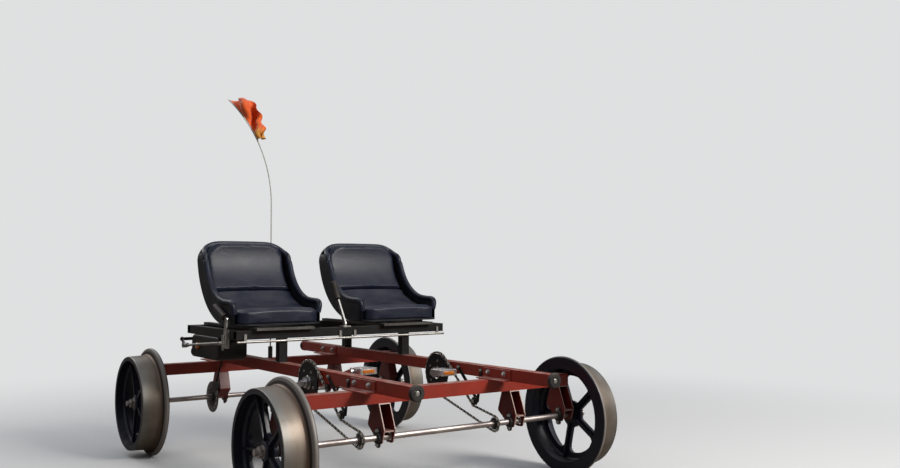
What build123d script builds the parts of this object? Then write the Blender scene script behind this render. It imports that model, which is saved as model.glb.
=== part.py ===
from build123d import *
import math
import os

# A two-seat pedal railcar on four flanged wheels.
# Lengths are in millimetres. +Z is up and the front faces -Y.
# Left and right in the names are as seen from in front of the car, so left is -X.
# The origin is on the floor under the middle of the car, which stands on its wheel flanges.

os.makedirs("parts", exist_ok=True)

# Clearances between pieces
press_gap = 0.1                # between pieces that are fixed on a shaft
running_gap = 0.05             # round a shaft in its bearing
rest_gap = 0.3                 # between pieces that rest on each other
overcut = 1.0                  # how far a cut runs past the piece that it opens
end_round_share = 0.97         # how much of a flat bar's half width its end corners round off

# Wheels
wheelbase = 1536.0
flange_back = 688.0            # half the distance between the flanges' back faces
tread_radius = 235.0
flange_height = 32.0
flange_tip = 17.0              # the flange's thickness at its tip
flange_root = 28.0             # and where it meets the tread
flange_round = 8.0
throat_round = 11.0
tread_cone = 4.0               # how much smaller the tread is at its outer edge
tread_edge_round = 4.0
wheel_width = 120.0
rim_wall = 25.0
web_depth = 60.0               # from the flange's back face to the web
web_thickness = 14.0
web_round = 14.0
web_rim_step = 3.0             # how much further in than the rim's wall the web's rounding starts
hub_radius = 40.0
hub_inner = 48.0               # from the flange's back face to the hub's inner end
hub_outer = 92.0               # and to its outer end
hub_round = 5.0
hub_taper = 3.0
spoke_count = 5
spoke_width = 34.0
spoke_phase = 41.0             # degrees above straight ahead
rib_thickness = 9.0
rib_height = 12.0              # above the web, on both sides
rib_run_in = 8.0               # how far a rib runs into the hub and the rim
window_outer_radius = 176.0
window_inner_radius = 60.0
window_outer_round = 26.0
window_inner_round = 11.0

# Axles
shaft_radius = 12.5
shaft_overhang = 8.0           # beyond the wheel's outer face
nut_across = 38.0
nut_thickness = 16.0
washer_radius = 24.0
washer_thickness = 3.0
collar_radius = 20.0
collar_thickness = 9.0
collar_gap = 1.0               # from the collar to the hanger beside it

# Frame
beam_side = 50.0
beam_wall = 3.0
beam_spacing = 670.0           # between the side beams' centre lines
beam_overhang = 332.0          # from the axle to the side beam's end
cross_side = 55.0
beam_to_web = 24.0             # from the cross beam's end to the wheel's web
cross_set_back = 28.5          # from the axle to the cross beam's middle, towards the car's middle
cap_thickness = 3.0
cap_round = 6.0
axle_to_cross = 133.0          # from the axle's centre up to the cross beam's underside
angle_length = 186.0           # the angle that bolts a side beam to a cross beam
angle_leg = 45.0
angle_height = 46.0
angle_wall = 5.0
angle_toe_round = 2.0
angle_inner_round = 3.0
bumper_radius = 31.0
bumper_length = 16.0
bumper_round = 5.0
bumper_recess_radius = 14.0
bumper_recess_depth = 8.0

# Hangers and bearings
hanger_width = 54.0
hanger_wall = 4.0
hanger_front_offset = 73.0     # from a side beam to the front inner hanger's middle
hanger_rear_offset = 0.0       # and to the rear inner hanger's
hanger_inner_round = 6.0
hanger_corner_shift = (2.0, 1.0)   # of the channel's inner corner, which keeps its wall even
hanger_shelf = (24.0, 30.0)    # bottom and top of the shelf that closes the channel above the shaft
hanger_shelf_out = 36.0        # from the axle to the shelf's edge
hanger_shelf_in = 50.0         # and how far it runs back into the channel
hanger_end_gap = 2.0           # from the outer hanger to the cross beam's end
shaft_clearance = 3.0          # round the shaft in a hanger
bearing_radius = 24.0
bearing_thickness = 14.0
bearing_chamfer = 3.0
bearing_flange_thickness = 6.0
bearing_flange_width = 28.0
bearing_flange_half = 40.0

# A hanger's outline from the axle: (distance out from the car's middle, height, corner radius)
hanger_foot = [
    (41.0, 32.0, 10.0),
    (24.0, -24.0, 18.0),
    (-24.0, -24.0, 18.0),
    (-42.0, 8.0, 10.0),
    (-86.0, 42.0, 10.0),
]

# Drive
crank_axis_y = -343.0
crank_axis_z = 450.0
chain_pitch = 12.7
ring_teeth = 46
sprocket_teeth = 16
chain_line = 44.0              # from the side beam's middle to the chain
chain_inner_width = 5.6        # over the inner plates
chain_inner_half = 3.0         # half the inner plates' height
chain_outer_width = 8.4        # over the outer plates
chain_plate_height = 8.0       # the outer plates' height
tooth_width = 2.6
tooth_top_gap = 5.1            # from the pitch circle down to a tooth's tip
tooth_depth = 4.0
tooth_root_share = 0.34        # of a pitch, from a tooth's middle to its root
tooth_tip_share = 0.12         # and to the edge of its tip
ring_bore = 52.0
guard_radius = 87.0
guard_bore = 30.0
guard_thickness = 2.0
freewheel_radius = 24.0
freewheel_width = 14.0
sprocket_bore_gap = 0.4
shell_radius = 21.0
shell_length = 68.0
spindle_radius = 8.0
spindle_half = 76.0
crank_length = 170.0
crank_angle = {"left": 162.0, "right": -7.0}   # of the +X arm, about +X from the rear
arm_thickness = 12.0
arm_big = 14.0                 # half the arm's width at the spindle
arm_small = 10.5               # and at the pedal
arm_groove = 2.0
arm_groove_margin = 6.0        # from the arm's edge to the groove at the spindle
arm_groove_tip_margin = 5.0    # and at the pedal
arm_groove_round = 3.0
spider_arms = 5
spider_radius = 62.0
spider_boss = 24.0
spider_arm_width = 18.0
spider_thickness = 4.0
spider_tip_half = 6.3
spider_tip_round = 5.4
pedal_length = 96.0
pedal_width = 84.0
pedal_height = 24.0
pedal_wall = 3.0
pedal_round = 14.0
pedal_gap = 6.0
pedal_pin_radius = 5.0
pedal_barrel_radius = 10.0
pedal_rib = 6.0
pedal_rib_spacing = 40.0

# Guide pulley under the chain's upper run, hung from the side beam on a V of flat bar
idler_set_back = 138.0         # from the front axle to the pulley
idler_z = 348.0
idler_radius = 18.0
idler_width = 10.0
idler_lip = 1.5
idler_groove = 2.0
idler_pin_radius = 4.0
idler_pin_gap = 0.15
strap_thickness = 4.0
strap_width = 16.0
strap_front_set_back = 113.0   # from the front axle to the V's bolts
strap_rear_set_back = 282.0
strap_top = 30.0               # above the beam's underside

# Brake on the rear axle
disc_radius = 80.0
disc_thickness = 4.0
disc_hub_radius = 26.0
disc_hub_half = 7.0
disc_offset = 38.0             # from the side beam's middle
disc_hole_count = 12
disc_hole_radius = 5.0
disc_hole_circle = 60.0
caliper_y = 720.0
caliper_z = 328.0
caliper_width = 45.0
caliper_slot = 8.0
caliper_round = 8.0
link_radius = 4.0
link_depth = 6.0               # how far the link rod runs into the caliper
link_eye_radius = 7.0
link_eye_half = 6.0

# Seat frame
seat_tube = 40.0
seat_tube_wall = 2.5
seat_tube_top_z = 655.0
seat_side_margin = 4.0         # from the seat's side to the cross tube's end
seat_tube_front_y = 20.0
seat_tube_rear_y = 600.0
front_rod_radius = 6.0
front_rod_drop = 4.0           # below the front cross tube's underside
front_rod_gap = 1.0            # in front of the tube and its posts
front_tab_top_z = 640.0
slide_width = 30.0
slide_inset = 95.0             # from the seat's side to a slide rail's middle
rail_nose = 30.0
rail_height = 12.0

# Seats. Each is a scoop with one large bend between the pan and the back.
seat_width = 450.0
seat_front_y = 20.0
seat_back_y = 513.0
seat_bottom_z = 675.0
seat_top_z = 1066.0
seat_bend = 370.0              # the bend's outer radius
seat_shell_wall = 8.0
seat_side_wall = 10.0
seat_pad = 66.0                # from the shell's outside to the pads' face
seat_wing = 40.0               # how far the wings stand above the pads
seat_wing_round = 36.0
seat_front_round = 70.0
seat_shoulder_round = 95.0
pad_gap = 0.5
runner_half = 12.0
runner_inset = 40.0

# Storage case under the left end tube, with an amber marker on its outer face
case_overhang = 6.0            # past the end tube's outer face
case_width = 145.0
case_front_y = 200.0
case_length = 345.0
case_height = 108.0
case_round = 30.0
case_edge_round = 8.0
case_seam_drop = 26.0
case_seam = 2.0
lamp_radius = 17.0
lamp_depth = 12.0
lamp_chamfer = 4.0
lamp_y = 452.0
lamp_z = 562.0

# Brake lever on the left end tube, its pull rod and the cross shaft
lever_pivot_y = 110.0
lever_pivot_z = 597.0
lever_elbow_y = 84.0
lever_elbow_z = 706.0
lever_tip_y = 225.0
lever_tip_z = 761.0
lever_gap = 4.0                # from the bracket to the lever
lever_thickness = 7.0
lever_half = 11.0              # half the lever's width at the pivot
lever_elbow_half = 8.8
lever_tip_half = 6.6
lever_bracket_thickness = 6.0
lever_bracket_half = 26.0
lever_bracket_round = 10.0
lever_bracket_top_round = 4.0
lever_pin_radius = 6.0
grip_radius = 15.0
grip_round = 6.0
grip_length = 128.0
fork_gap = 1.0                 # from the lever to the forked link
fork_drop = 34.0               # the forked link's reach below and above the pivot
fork_rise = 36.0
fork_prong = 5.0
fork_slot_half = 6.0
fork_thickness = 5.0
fork_pin_end = 3.0
fork_tip_round = 2.0
fork_bend_round = 8.0
fork_waist_round = 4.0
fork_foot_round = 4.5
fork_slot_tip_round = 1.0
fork_slot_round = 5.0
pull_rod_radius = 6.0
pull_rod_gap = 2.0
pull_eye_radius = 9.0
pull_eye_half = 8.0
pull_rod_end_y = 520.0
pull_rod_end_z = 563.0
clevis_radius = 10.0
clevis_length = 44.0
clevis_eye_radius = 12.0
clevis_eye_half = 11.0
brake_shaft_z = 588.0
brake_shaft_radius = 8.0
brake_shaft_end = 5.0
brake_arm_thickness = 6.0
brake_arm_half = 11.0
brake_arm_tip_half = 7.7
brake_arm_tip = (604.0, 519.0)  # the inner arm's lower end (y, z)

# Lever between the seats
centre_lever_foot_y = 24.0
centre_lever_tip_y = 92.0
centre_lever_tip_z = 782.0
centre_lever_half = 10.0
centre_lever_tip_half = 7.0
centre_lever_thickness = 8.0
centre_base_half = 20.0
centre_base_height = 6.0
centre_grip_length = 96.0

# Flag whip on the rear cross beam, bent by the wind, and the flag
whip_x = -60.0
whip_radius = 3.5
whip_straight_top_z = 1284.0
whip_bend = 821.0              # the radius of its bent stretch
whip_bend_angle = 45.5
whip_lean_heading = 138.5      # degrees from +X towards +Y
socket_radius = 12.0
socket_height = 62.0
flag_thickness = 1.2
flag_fly = 180.0
flag_fly_heading = 26.0
flag_low_angle = 26.0          # where the flag starts and ends along the bent stretch
flag_high_angle = 45.0

# Values worked out from the sizes above
axle_z = tread_radius + flange_height
flange_radius = tread_radius + flange_height
axle_y = {"front": -wheelbase / 2, "rear": wheelbase / 2}
outward = {"front": -1, "rear": 1}
cross_y = {"front": axle_y["front"] + cross_set_back, "rear": axle_y["rear"] - cross_set_back}
cross_bottom_z = axle_z + axle_to_cross
cross_beam_half = flange_back + web_depth - beam_to_web
idler_y = axle_y["front"] + idler_set_back
strap_front_y = axle_y["front"] + strap_front_set_back
strap_rear_y = axle_y["front"] + strap_rear_set_back
slide_spacing = seat_width - 2 * slide_inset
cross_top_z = cross_bottom_z + cross_side
beam_top_z = cross_top_z + beam_side
beam_x = {"left": -beam_spacing / 2, "right": beam_spacing / 2}
beam_end_y = wheelbase / 2 + beam_overhang
ring_radius = chain_pitch / 2 / math.sin(math.pi / ring_teeth)
sprocket_radius = chain_pitch / 2 / math.sin(math.pi / sprocket_teeth)
roll_radius = idler_radius + chain_plate_height / 2 + rest_gap
seat_tube_bottom_z = seat_tube_top_z - seat_tube
seat_tube_half = beam_spacing / 2 + seat_width / 2 + seat_side_margin
seat_tube_y = {"front": seat_tube_front_y, "rear": seat_tube_rear_y}
rail_top_z = seat_tube_top_z + rail_height


def save(shapes, name):
    """Write one node, which may hold several solids that do not touch."""
    solids = []
    for shape in shapes:
        solids.extend(shape.solids())
    export_step(Compound(solids), f"parts/{name}.step")


def block(low, high):
    """A box from its lowest to its highest corner."""
    size = [b - a for a, b in zip(low, high)]
    return Pos(*low) * Box(*size, align=(Align.MIN, Align.MIN, Align.MIN))


def rod_x(radius, x0, x1, y, z):
    """A round bar along X."""
    bar = Cylinder(radius, abs(x1 - x0), align=(Align.CENTER, Align.CENTER, Align.MIN))
    return Pos(min(x0, x1), y, z) * Rot(0, 90, 0) * bar


def rod_between(radius, start, end):
    """A round bar from one point to another."""
    axis = Vector(*end) - Vector(*start)
    section = Plane(origin=start, z_dir=axis) * Circle(radius)
    return extrude(section, amount=axis.length, dir=axis.normalized())


def tube_x(side, wall, half, y, z):
    """A square tube along X, open at both ends, with its underside at z."""
    outer = block((-half, y - side / 2, z), (half, y + side / 2, z + side))
    inner = block((-half - overcut, y - side / 2 + wall, z + wall),
                  (half + overcut, y + side / 2 - wall, z + side - wall))
    return outer - inner


def outline(rows, place):
    """A face from rows of (u, v, corner radius). place turns u and v into a point in space."""
    ends = []
    edges = []
    for i, (u, v, radius) in enumerate(rows):
        before = rows[i - 1]
        after = rows[(i + 1) % len(rows)]
        corner = Vector(u, v)
        if radius == 0:
            ends.append((corner, corner))
            continue
        back = (Vector(before[0], before[1]) - corner).normalized()
        ahead = (Vector(after[0], after[1]) - corner).normalized()
        half = math.radians(back.get_angle(ahead)) / 2
        start = corner + back * (radius / math.tan(half))
        end = corner + ahead * (radius / math.tan(half))
        inward = (back + ahead).normalized()
        middle = corner + inward * (radius / math.sin(half) - radius)
        ends.append((start, end))
        arc = [place(spot.X, spot.Y) for spot in (start, middle, end)]
        edges.append(ThreePointArc(*arc))
    for i, (start, end) in enumerate(ends):
        following = ends[(i + 1) % len(ends)][0]
        if (following - end).length > 1e-6:
            edges.append(Line(place(end.X, end.Y), place(following.X, following.Y)))
    return make_face(Wire.combine(edges)[0])


def plate_yz(rows, x0, x1):
    """A plate of the given (y, z, corner radius) outline, from x0 to x1."""
    return extrude(outline(rows, lambda y, z: (x0, y, z)), amount=x1 - x0, dir=(1, 0, 0))


def plate_xz(rows, y0, y1):
    """A plate of the given (x, z, corner radius) outline, from y0 to y1."""
    return extrude(outline(rows, lambda x, z: (x, y0, z)), amount=y1 - y0, dir=(0, 1, 0))


def plate_xy(rows, z0, z1):
    """A plate of the given (x, y, corner radius) outline, from z0 to z1."""
    return extrude(outline(rows, lambda x, y: (x, y, z0)), amount=z1 - z0, dir=(0, 0, 1))


def square_rows(u, v, half_u, half_v, radius):
    """The rows of a rectangle about (u, v) with rounded corners."""
    return [(u - half_u, v - half_v, radius), (u + half_u, v - half_v, radius),
            (u + half_u, v + half_v, radius), (u - half_u, v + half_v, radius)]


def spun(rows, y, z):
    """A profile of (x, distance from the axis, corner radius), spun about X through (y, z)."""
    face = outline(rows, lambda x, r: (x, y, z + r))
    return revolve(face, axis=Axis((0, y, z), (1, 0, 0)), revolution_arc=360)


def bar_rows(start, end, half_start, half_end):
    """The outline of a flat bar with round ends, from one (y, z) point to another."""
    a = Vector(*start)
    b = Vector(*end)
    along = (b - a).normalized()
    side = Vector(-along.Y, along.X)
    taper = math.atan2(half_start - half_end, (b - a).length + half_start + half_end)
    rows = []
    for centre, half, turn in ((a, half_start, -1), (b, half_end, 1)):
        radius = half * end_round_share * math.tan(math.pi / 4 + turn * taper / 2)
        for hand in (turn, -turn):
            spot = centre + along * (turn * half) + side * (hand * half * -1)
            rows.append((spot.X, spot.Y, radius))
    return rows


def window(y, x0, x1, middle):
    """The opening between two spokes, whose middle stands at the given angle."""
    step = 360.0 / spoke_count
    spots = {}
    for name, r in (("outer", window_outer_radius), ("inner", window_inner_radius)):
        margin = math.degrees(math.asin(spoke_width / 2 / r))
        for place, angle in (("from", middle - step / 2 + margin), ("middle", middle),
                             ("to", middle + step / 2 - margin)):
            a = math.radians(angle)
            spots[name, place] = (x0, y + r * math.cos(a), axle_z + r * math.sin(a))
    edges = [
        ThreePointArc(spots["outer", "from"], spots["outer", "middle"], spots["outer", "to"]),
        Line(spots["outer", "to"], spots["inner", "to"]),
        ThreePointArc(spots["inner", "to"], spots["inner", "middle"], spots["inner", "from"]),
        Line(spots["inner", "from"], spots["outer", "from"]),
    ]
    body = extrude(make_face(edges), amount=x1 - x0, dir=(1, 0, 0))
    for group, radius in ((slice(2, 4), window_outer_round), (slice(0, 2), window_inner_round)):
        corners = [e for e in body.edges().filter_by(Axis.X) if min(
            math.hypot(e.center().Y - spot[1], e.center().Z - spot[2]) for spot in spots.values()) < 1]
        corners.sort(key=lambda e: math.hypot(e.center().Y - y, e.center().Z - axle_z))
        body = fillet(corners[group], radius)
    return body


def wheel(side, y):
    """One cast wheel: flanged rim, web with five ribbed spokes, and hub."""
    rim_inner = tread_radius - rim_wall
    web_back = flange_back + web_depth
    web_front = web_back + web_thickness
    bore = shaft_radius + press_gap
    face = flange_back + wheel_width
    body = spun([
        (flange_back, rim_inner, 0),
        (flange_back, flange_radius, flange_round),
        (flange_back + flange_tip, flange_radius, flange_round),
        (flange_back + flange_root, tread_radius, throat_round),
        (face, tread_radius - tread_cone, tread_edge_round),
        (face, rim_inner, 0),
        (web_front, rim_inner - web_rim_step, web_round),
        (web_front, bore, 0),
        (web_back, bore, 0),
        (web_back, rim_inner - web_rim_step, web_round),
    ], y, axle_z)
    step = 360.0 / spoke_count
    for i in range(spoke_count):
        body -= window(y, web_back - overcut, web_front + overcut, 180 - spoke_phase + step * (i + 0.5))
    body += spun([
        (flange_back + hub_inner, bore, 0),
        (flange_back + hub_inner, hub_radius, 0),
        (flange_back + hub_outer, hub_radius - hub_taper, hub_round),
        (flange_back + hub_outer, bore, 0),
    ], y, axle_z)
    rib = block((web_back - rib_height, -rib_thickness / 2, hub_radius - rib_run_in),
                (web_front + rib_height, rib_thickness / 2, rim_inner + rib_run_in))
    for i in range(spoke_count):
        body += Pos(0, y, axle_z) * Rot(90 - spoke_phase + step * i, 0, 0) * rib
    if side < 0:
        body = mirror(body, about=Plane.YZ)
    return body


def axle(y):
    """The shaft with a washer and nut outside each wheel and a collar inside it."""
    end = flange_back + wheel_width + shaft_overhang
    shaft = rod_x(shaft_radius, -end, end, y, axle_z)
    for side in (-1, 1):
        seat = flange_back + hub_outer + press_gap
        shaft += rod_x(washer_radius, side * seat, side * (seat + washer_thickness), y, axle_z)
        nut = extrude(RegularPolygon(nut_across / 2, 6, major_radius=False), amount=nut_thickness)
        x0 = min(side * (seat + washer_thickness), side * (seat + washer_thickness + nut_thickness))
        shaft += Pos(x0, y, axle_z) * Rot(0, 90, 0) * nut
        inner = outer_hanger_x + hanger_width / 2 + collar_gap
        shaft += rod_x(collar_radius, side * inner, side * (inner + collar_thickness), y, axle_z)
    return shaft


def hanger(x_mid, end):
    """A channel that hangs from the cross beam and holds one bearing. Its open side faces the car's end."""
    out = outward[end]
    y = axle_y[end]
    front_top = (cross_y[end] + out * cross_side / 2, cross_bottom_z, 0)
    back_top = (cross_y[end] - out * cross_side / 2, cross_bottom_z, 0)
    foot = [(y + out * u, axle_z + v, r) for u, v, r in hanger_foot]
    x0 = x_mid - hanger_width / 2
    x1 = x_mid + hanger_width / 2
    body = plate_yz([front_top] + foot + [back_top], x0, x1)
    rear_corner = foot[-1]
    tip_corner = foot[-2]
    shift_y, shift_z = hanger_corner_shift
    open_y = y + out * 4 * bearing_radius
    inner = [
        (open_y, cross_bottom_z - hanger_wall, 0),
        (open_y, axle_z - 2 * bearing_radius, 0),
        (tip_corner[0] + out * hanger_wall, axle_z - 2 * bearing_radius, 0),
        (tip_corner[0] + out * hanger_wall, tip_corner[1] + hanger_wall, hanger_inner_round),
        (rear_corner[0] + out * (hanger_wall + shift_y), rear_corner[1] + shift_z, hanger_inner_round),
        (back_top[0] + out * hanger_wall, cross_bottom_z - hanger_wall, 0),
    ]
    body -= plate_yz(inner, x0 + hanger_wall, x1 - hanger_wall)
    shelf_y0, shelf_y1 = sorted((y + out * hanger_shelf_out, y - out * hanger_shelf_in))
    body += block((x0 + hanger_wall / 2, shelf_y0, axle_z + hanger_shelf[0]),
                  (x1 - hanger_wall / 2, shelf_y1, axle_z + hanger_shelf[1]))
    body -= rod_x(shaft_radius + shaft_clearance, x0 - overcut, x1 + overcut, y, axle_z)
    return body


def bearing(x_face, y, side):
    """A two-bolt flange bearing on a hanger's side."""
    half = bearing_flange_width / 2
    rows = square_rows(y, axle_z, half, bearing_flange_half, half * end_round_share)
    x0, x1 = sorted((x_face, x_face + side * bearing_flange_thickness))
    body = plate_yz(rows, x0, x1)
    boss_end = x_face + side * bearing_thickness
    body += spun([(x_face, shaft_radius, 0), (x_face, bearing_radius, 0),
                  (boss_end - side * bearing_chamfer, bearing_radius, 0),
                  (boss_end, bearing_radius - bearing_chamfer, 0), (boss_end, shaft_radius, 0)], y, axle_z)
    far = x_face + side * (bearing_thickness + overcut)
    return body - rod_x(shaft_radius + running_gap, x_face - side * overcut, far, y, axle_z)


# Where each hanger stands: (end of the car, name, x of its middle, side that its bearing is on)
outer_hanger_x = cross_beam_half - hanger_end_gap - hanger_width / 2
hangers = [
    ("front", "outer_left", -outer_hanger_x, 1),
    ("front", "inner_left", beam_x["left"] + hanger_front_offset, -1),
    ("front", "inner_right", beam_x["right"] + hanger_front_offset, -1),
    ("front", "outer_right", outer_hanger_x, -1),
    ("rear", "outer_left", -outer_hanger_x, 1),
    ("rear", "inner_left", beam_x["left"] + hanger_rear_offset, 1),
    ("rear", "inner_right", beam_x["right"] + hanger_rear_offset, -1),
    ("rear", "outer_right", outer_hanger_x, -1),
]
bearings = {"front": [], "rear": []}
for end, name, x, side in hangers:
    save([hanger(x, end)], f"hanger_{end}_{name}")
    bearings[end].append(bearing(x + side * hanger_width / 2, axle_y[end], side))
for end in ("front", "rear"):
    save(bearings[end], f"bearings_{end}")
    save([axle(axle_y[end])], f"{end}_axle")
    save([wheel(-1, axle_y[end])], f"wheel_{end}_left")
    save([wheel(1, axle_y[end])], f"wheel_{end}_right")


def end_cap(side, y):
    """A plug with a square head on a cross beam's end."""
    x0, x1 = sorted((side * (cross_beam_half + press_gap), side * (cross_beam_half + cap_thickness)))
    half = cross_side / 2
    return plate_yz(square_rows(y, cross_bottom_z + half, half, half, cap_round), x0, x1)


def side_beam(x):
    """A side beam with its crank shell and the two angles that it is bolted down with."""
    half = beam_side / 2
    body = block((x - half, -beam_end_y, cross_top_z), (x + half, beam_end_y, beam_top_z))
    body -= block((x - half + beam_wall, -beam_end_y - overcut, cross_top_z + beam_wall),
                  (x + half - beam_wall, beam_end_y + overcut, beam_top_z - beam_wall))
    leg_x = x - half - angle_leg
    wall_x = x - half - angle_wall
    for y in axle_y.values():
        rows = [(x - half, cross_top_z, 0), (leg_x, cross_top_z, 0),
                (leg_x, cross_top_z + angle_wall, angle_toe_round),
                (wall_x, cross_top_z + angle_wall, angle_inner_round),
                (wall_x, cross_top_z + angle_height, angle_toe_round),
                (x - half, cross_top_z + angle_height, 0)]
        body += plate_xz(rows, y - angle_length / 2, y + angle_length / 2)
    body += rod_x(shell_radius, x - shell_length / 2, x + shell_length / 2, crank_axis_y, crank_axis_z)
    body -= rod_x(spindle_radius + running_gap, x - shell_length, x + shell_length,
                  crank_axis_y, crank_axis_z)
    return body


def bumper(x, out):
    """A round rubber buffer on a beam's end, with a recess for its bolt."""
    disc = Cylinder(bumper_radius, bumper_length, align=(Align.CENTER, Align.CENTER, Align.MIN))
    disc = fillet(disc.edges().sort_by(Axis.Z)[-1], bumper_round)
    recess = Cylinder(bumper_recess_radius, bumper_recess_depth + overcut,
                      align=(Align.CENTER, Align.CENTER, Align.MIN))
    disc -= Pos(0, 0, bumper_length - bumper_recess_depth) * recess
    return Pos(x, out * beam_end_y, cross_top_z + beam_side / 2) * Rot(-90 * out, 0, 0) * disc


for end in ("front", "rear"):
    beam = tube_x(cross_side, beam_wall, cross_beam_half, cross_y[end], cross_bottom_z)
    save([beam, end_cap(-1, cross_y[end]), end_cap(1, cross_y[end])], f"cross_beam_{end}")
    save([bumper(x, outward[end]) for x in beam_x.values()], f"bumpers_{end}")
for side in ("left", "right"):
    save([side_beam(beam_x[side])], f"side_beam_{side}")


def toothed_disc(radius, teeth, bore, x, y, z):
    """A chain wheel whose teeth end just inside the chain's plates."""
    tip = radius - tooth_top_gap
    root = tip - tooth_depth
    rows = []
    corners = [(-tooth_root_share, root), (-tooth_tip_share, tip),
               (tooth_tip_share, tip), (tooth_root_share, root)]
    for i in range(teeth):
        for part, r in corners:
            a = 2 * math.pi * (i + part) / teeth
            rows.append((y + r * math.cos(a), z + r * math.sin(a), 0))
    body = plate_yz(rows, x - tooth_width / 2, x + tooth_width / 2)
    return body - rod_x(bore, x - tooth_width, x + tooth_width, y, z)


def touch(c0, r0, c1, r1, hand):
    """The angle at which a line leaves circle c0 to touch c1. hand says on which side of the centres."""
    gap = math.hypot(c1[0] - c0[0], c1[1] - c0[1])
    return math.atan2(c1[1] - c0[1], c1[0] - c0[0]) + hand * math.acos((r0 - r1) / gap)


def chain_path(offset):
    """The chain's closed line at the given distance outside its pitch line."""
    big = (crank_axis_y, crank_axis_z)
    small = (axle_y["front"], axle_z)
    roll = (idler_y, idler_z)
    r_big = ring_radius + offset
    r_small = sprocket_radius + offset
    r_roll = roll_radius - offset

    def at(centre, r, a):
        return (0, centre[0] + r * math.cos(a), centre[1] + r * math.sin(a))

    low = touch(big, r_big, small, r_small, 1)
    back = touch(big, r_big, roll, -r_roll, -1)
    front = touch(small, r_small, roll, -r_roll, 1)
    away = math.atan2(big[1] - small[1], big[0] - small[0])
    roll_from = (back + math.pi) % (2 * math.pi)
    roll_to = (front + math.pi) % (2 * math.pi)
    big_top = at(big, r_big, back)
    roll_back = at(roll, r_roll, roll_from)
    roll_front = at(roll, r_roll, roll_to)
    small_top = at(small, r_small, front)
    small_low = at(small, r_small, low)
    big_low = at(big, r_big, low)
    return [
        ThreePointArc(big_low, at(big, r_big, away), big_top),
        Line(big_top, roll_back),
        ThreePointArc(roll_back, at(roll, r_roll, (roll_from + roll_to) / 2), roll_front),
        Line(roll_front, small_top),
        ThreePointArc(small_top, at(small, r_small, away + math.pi), small_low),
        Line(small_low, big_low),
    ]


def chain(x):
    """A closed chain: the inner links' line, with an outer link's plates over every second pitch."""
    width = chain_inner_width
    outer = extrude(make_face(Wire.combine(chain_path(chain_inner_half))[0]), amount=width, dir=(1, 0, 0))
    inner = extrude(make_face(Wire.combine(chain_path(-chain_inner_half))[0]), amount=width, dir=(1, 0, 0))
    core = Pos(-width / 2, 0, 0) * (outer - inner)
    line = Wire.combine(chain_path(0))[0]
    count = round(line.length / chain_pitch / 2)
    plate = Box(chain_outer_width, chain_pitch + chain_plate_height / 2, chain_plate_height)
    plates = []
    for i in range(count):
        share = (i + 0.5) / count
        spot = line.position_at(share)
        heading = line.tangent_at(share)
        turn = math.degrees(math.atan2(heading.Z, heading.Y))
        plates.append(Pos(0, spot.Y, spot.Z) * Rot(turn, 0, 0) * plate)
    return Pos(x, 0, 0) * core.fuse(*plates)


def guide_strap(x_beam, x_chain):
    """A V of flat bar on the side beam, with the guide pulley's pin at its foot."""
    x1 = x_beam - beam_side / 2
    x0 = x1 - strap_thickness
    half = strap_width / 2
    foot = (idler_y, idler_z)
    top_z = cross_top_z + strap_top
    body = plate_yz(bar_rows(foot, (strap_front_y, top_z), half, half), x0, x1)
    body += plate_yz(bar_rows(foot, (strap_rear_y, top_z), half, half), x0, x1)
    return body + rod_x(idler_pin_radius, x_chain - idler_width, x0, idler_y, idler_z)


def guide_pulley(x):
    """The guide pulley on its pin."""
    half = idler_width / 2
    lip = half - idler_lip
    bore = idler_pin_radius + idler_pin_gap
    return spun([(x - half, bore, 0), (x - half, idler_radius, 0), (x - lip, idler_radius, 0),
                 (x, idler_radius - idler_groove, 0), (x + lip, idler_radius, 0),
                 (x + half, idler_radius, 0), (x + half, bore, 0)], idler_y, idler_z)


for side in ("left", "right"):
    x = beam_x[side] - chain_line
    save([chain(x)], f"chain_{side}")
    save([guide_pulley(x)], f"chain_guide_{side}")
    save([guide_strap(beam_x[side], x)], f"guide_strap_{side}")
    ring = toothed_disc(ring_radius, ring_teeth, ring_bore, x, crank_axis_y, crank_axis_z)
    guard_x = x - tooth_width / 2 - spider_thickness
    guard = rod_x(guard_radius, guard_x - guard_thickness, guard_x - press_gap, crank_axis_y, crank_axis_z)
    guard -= rod_x(guard_bore, guard_x - 2 * guard_thickness, guard_x, crank_axis_y, crank_axis_z)
    save([ring, guard], f"chainring_{side}")
    bore = shaft_radius + sprocket_bore_gap
    sprocket = toothed_disc(sprocket_radius, sprocket_teeth, bore, x, axle_y["front"], axle_z)
    x_body = x + tooth_width / 2
    sprocket += rod_x(freewheel_radius, x_body, x_body + freewheel_width, axle_y["front"], axle_z)
    sprocket -= rod_x(bore, x, x_body + freewheel_width + overcut, axle_y["front"], axle_z)
    save([sprocket], f"sprocket_{side}")


def arm_place(x, turn):
    """A function that puts (along, across) points of a crank arm at its angle about the spindle."""
    a = math.radians(turn)

    def place(along, across):
        return (x, crank_axis_y + along * math.cos(a) - across * math.sin(a),
                crank_axis_z + along * math.sin(a) + across * math.cos(a))

    return place


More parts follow.
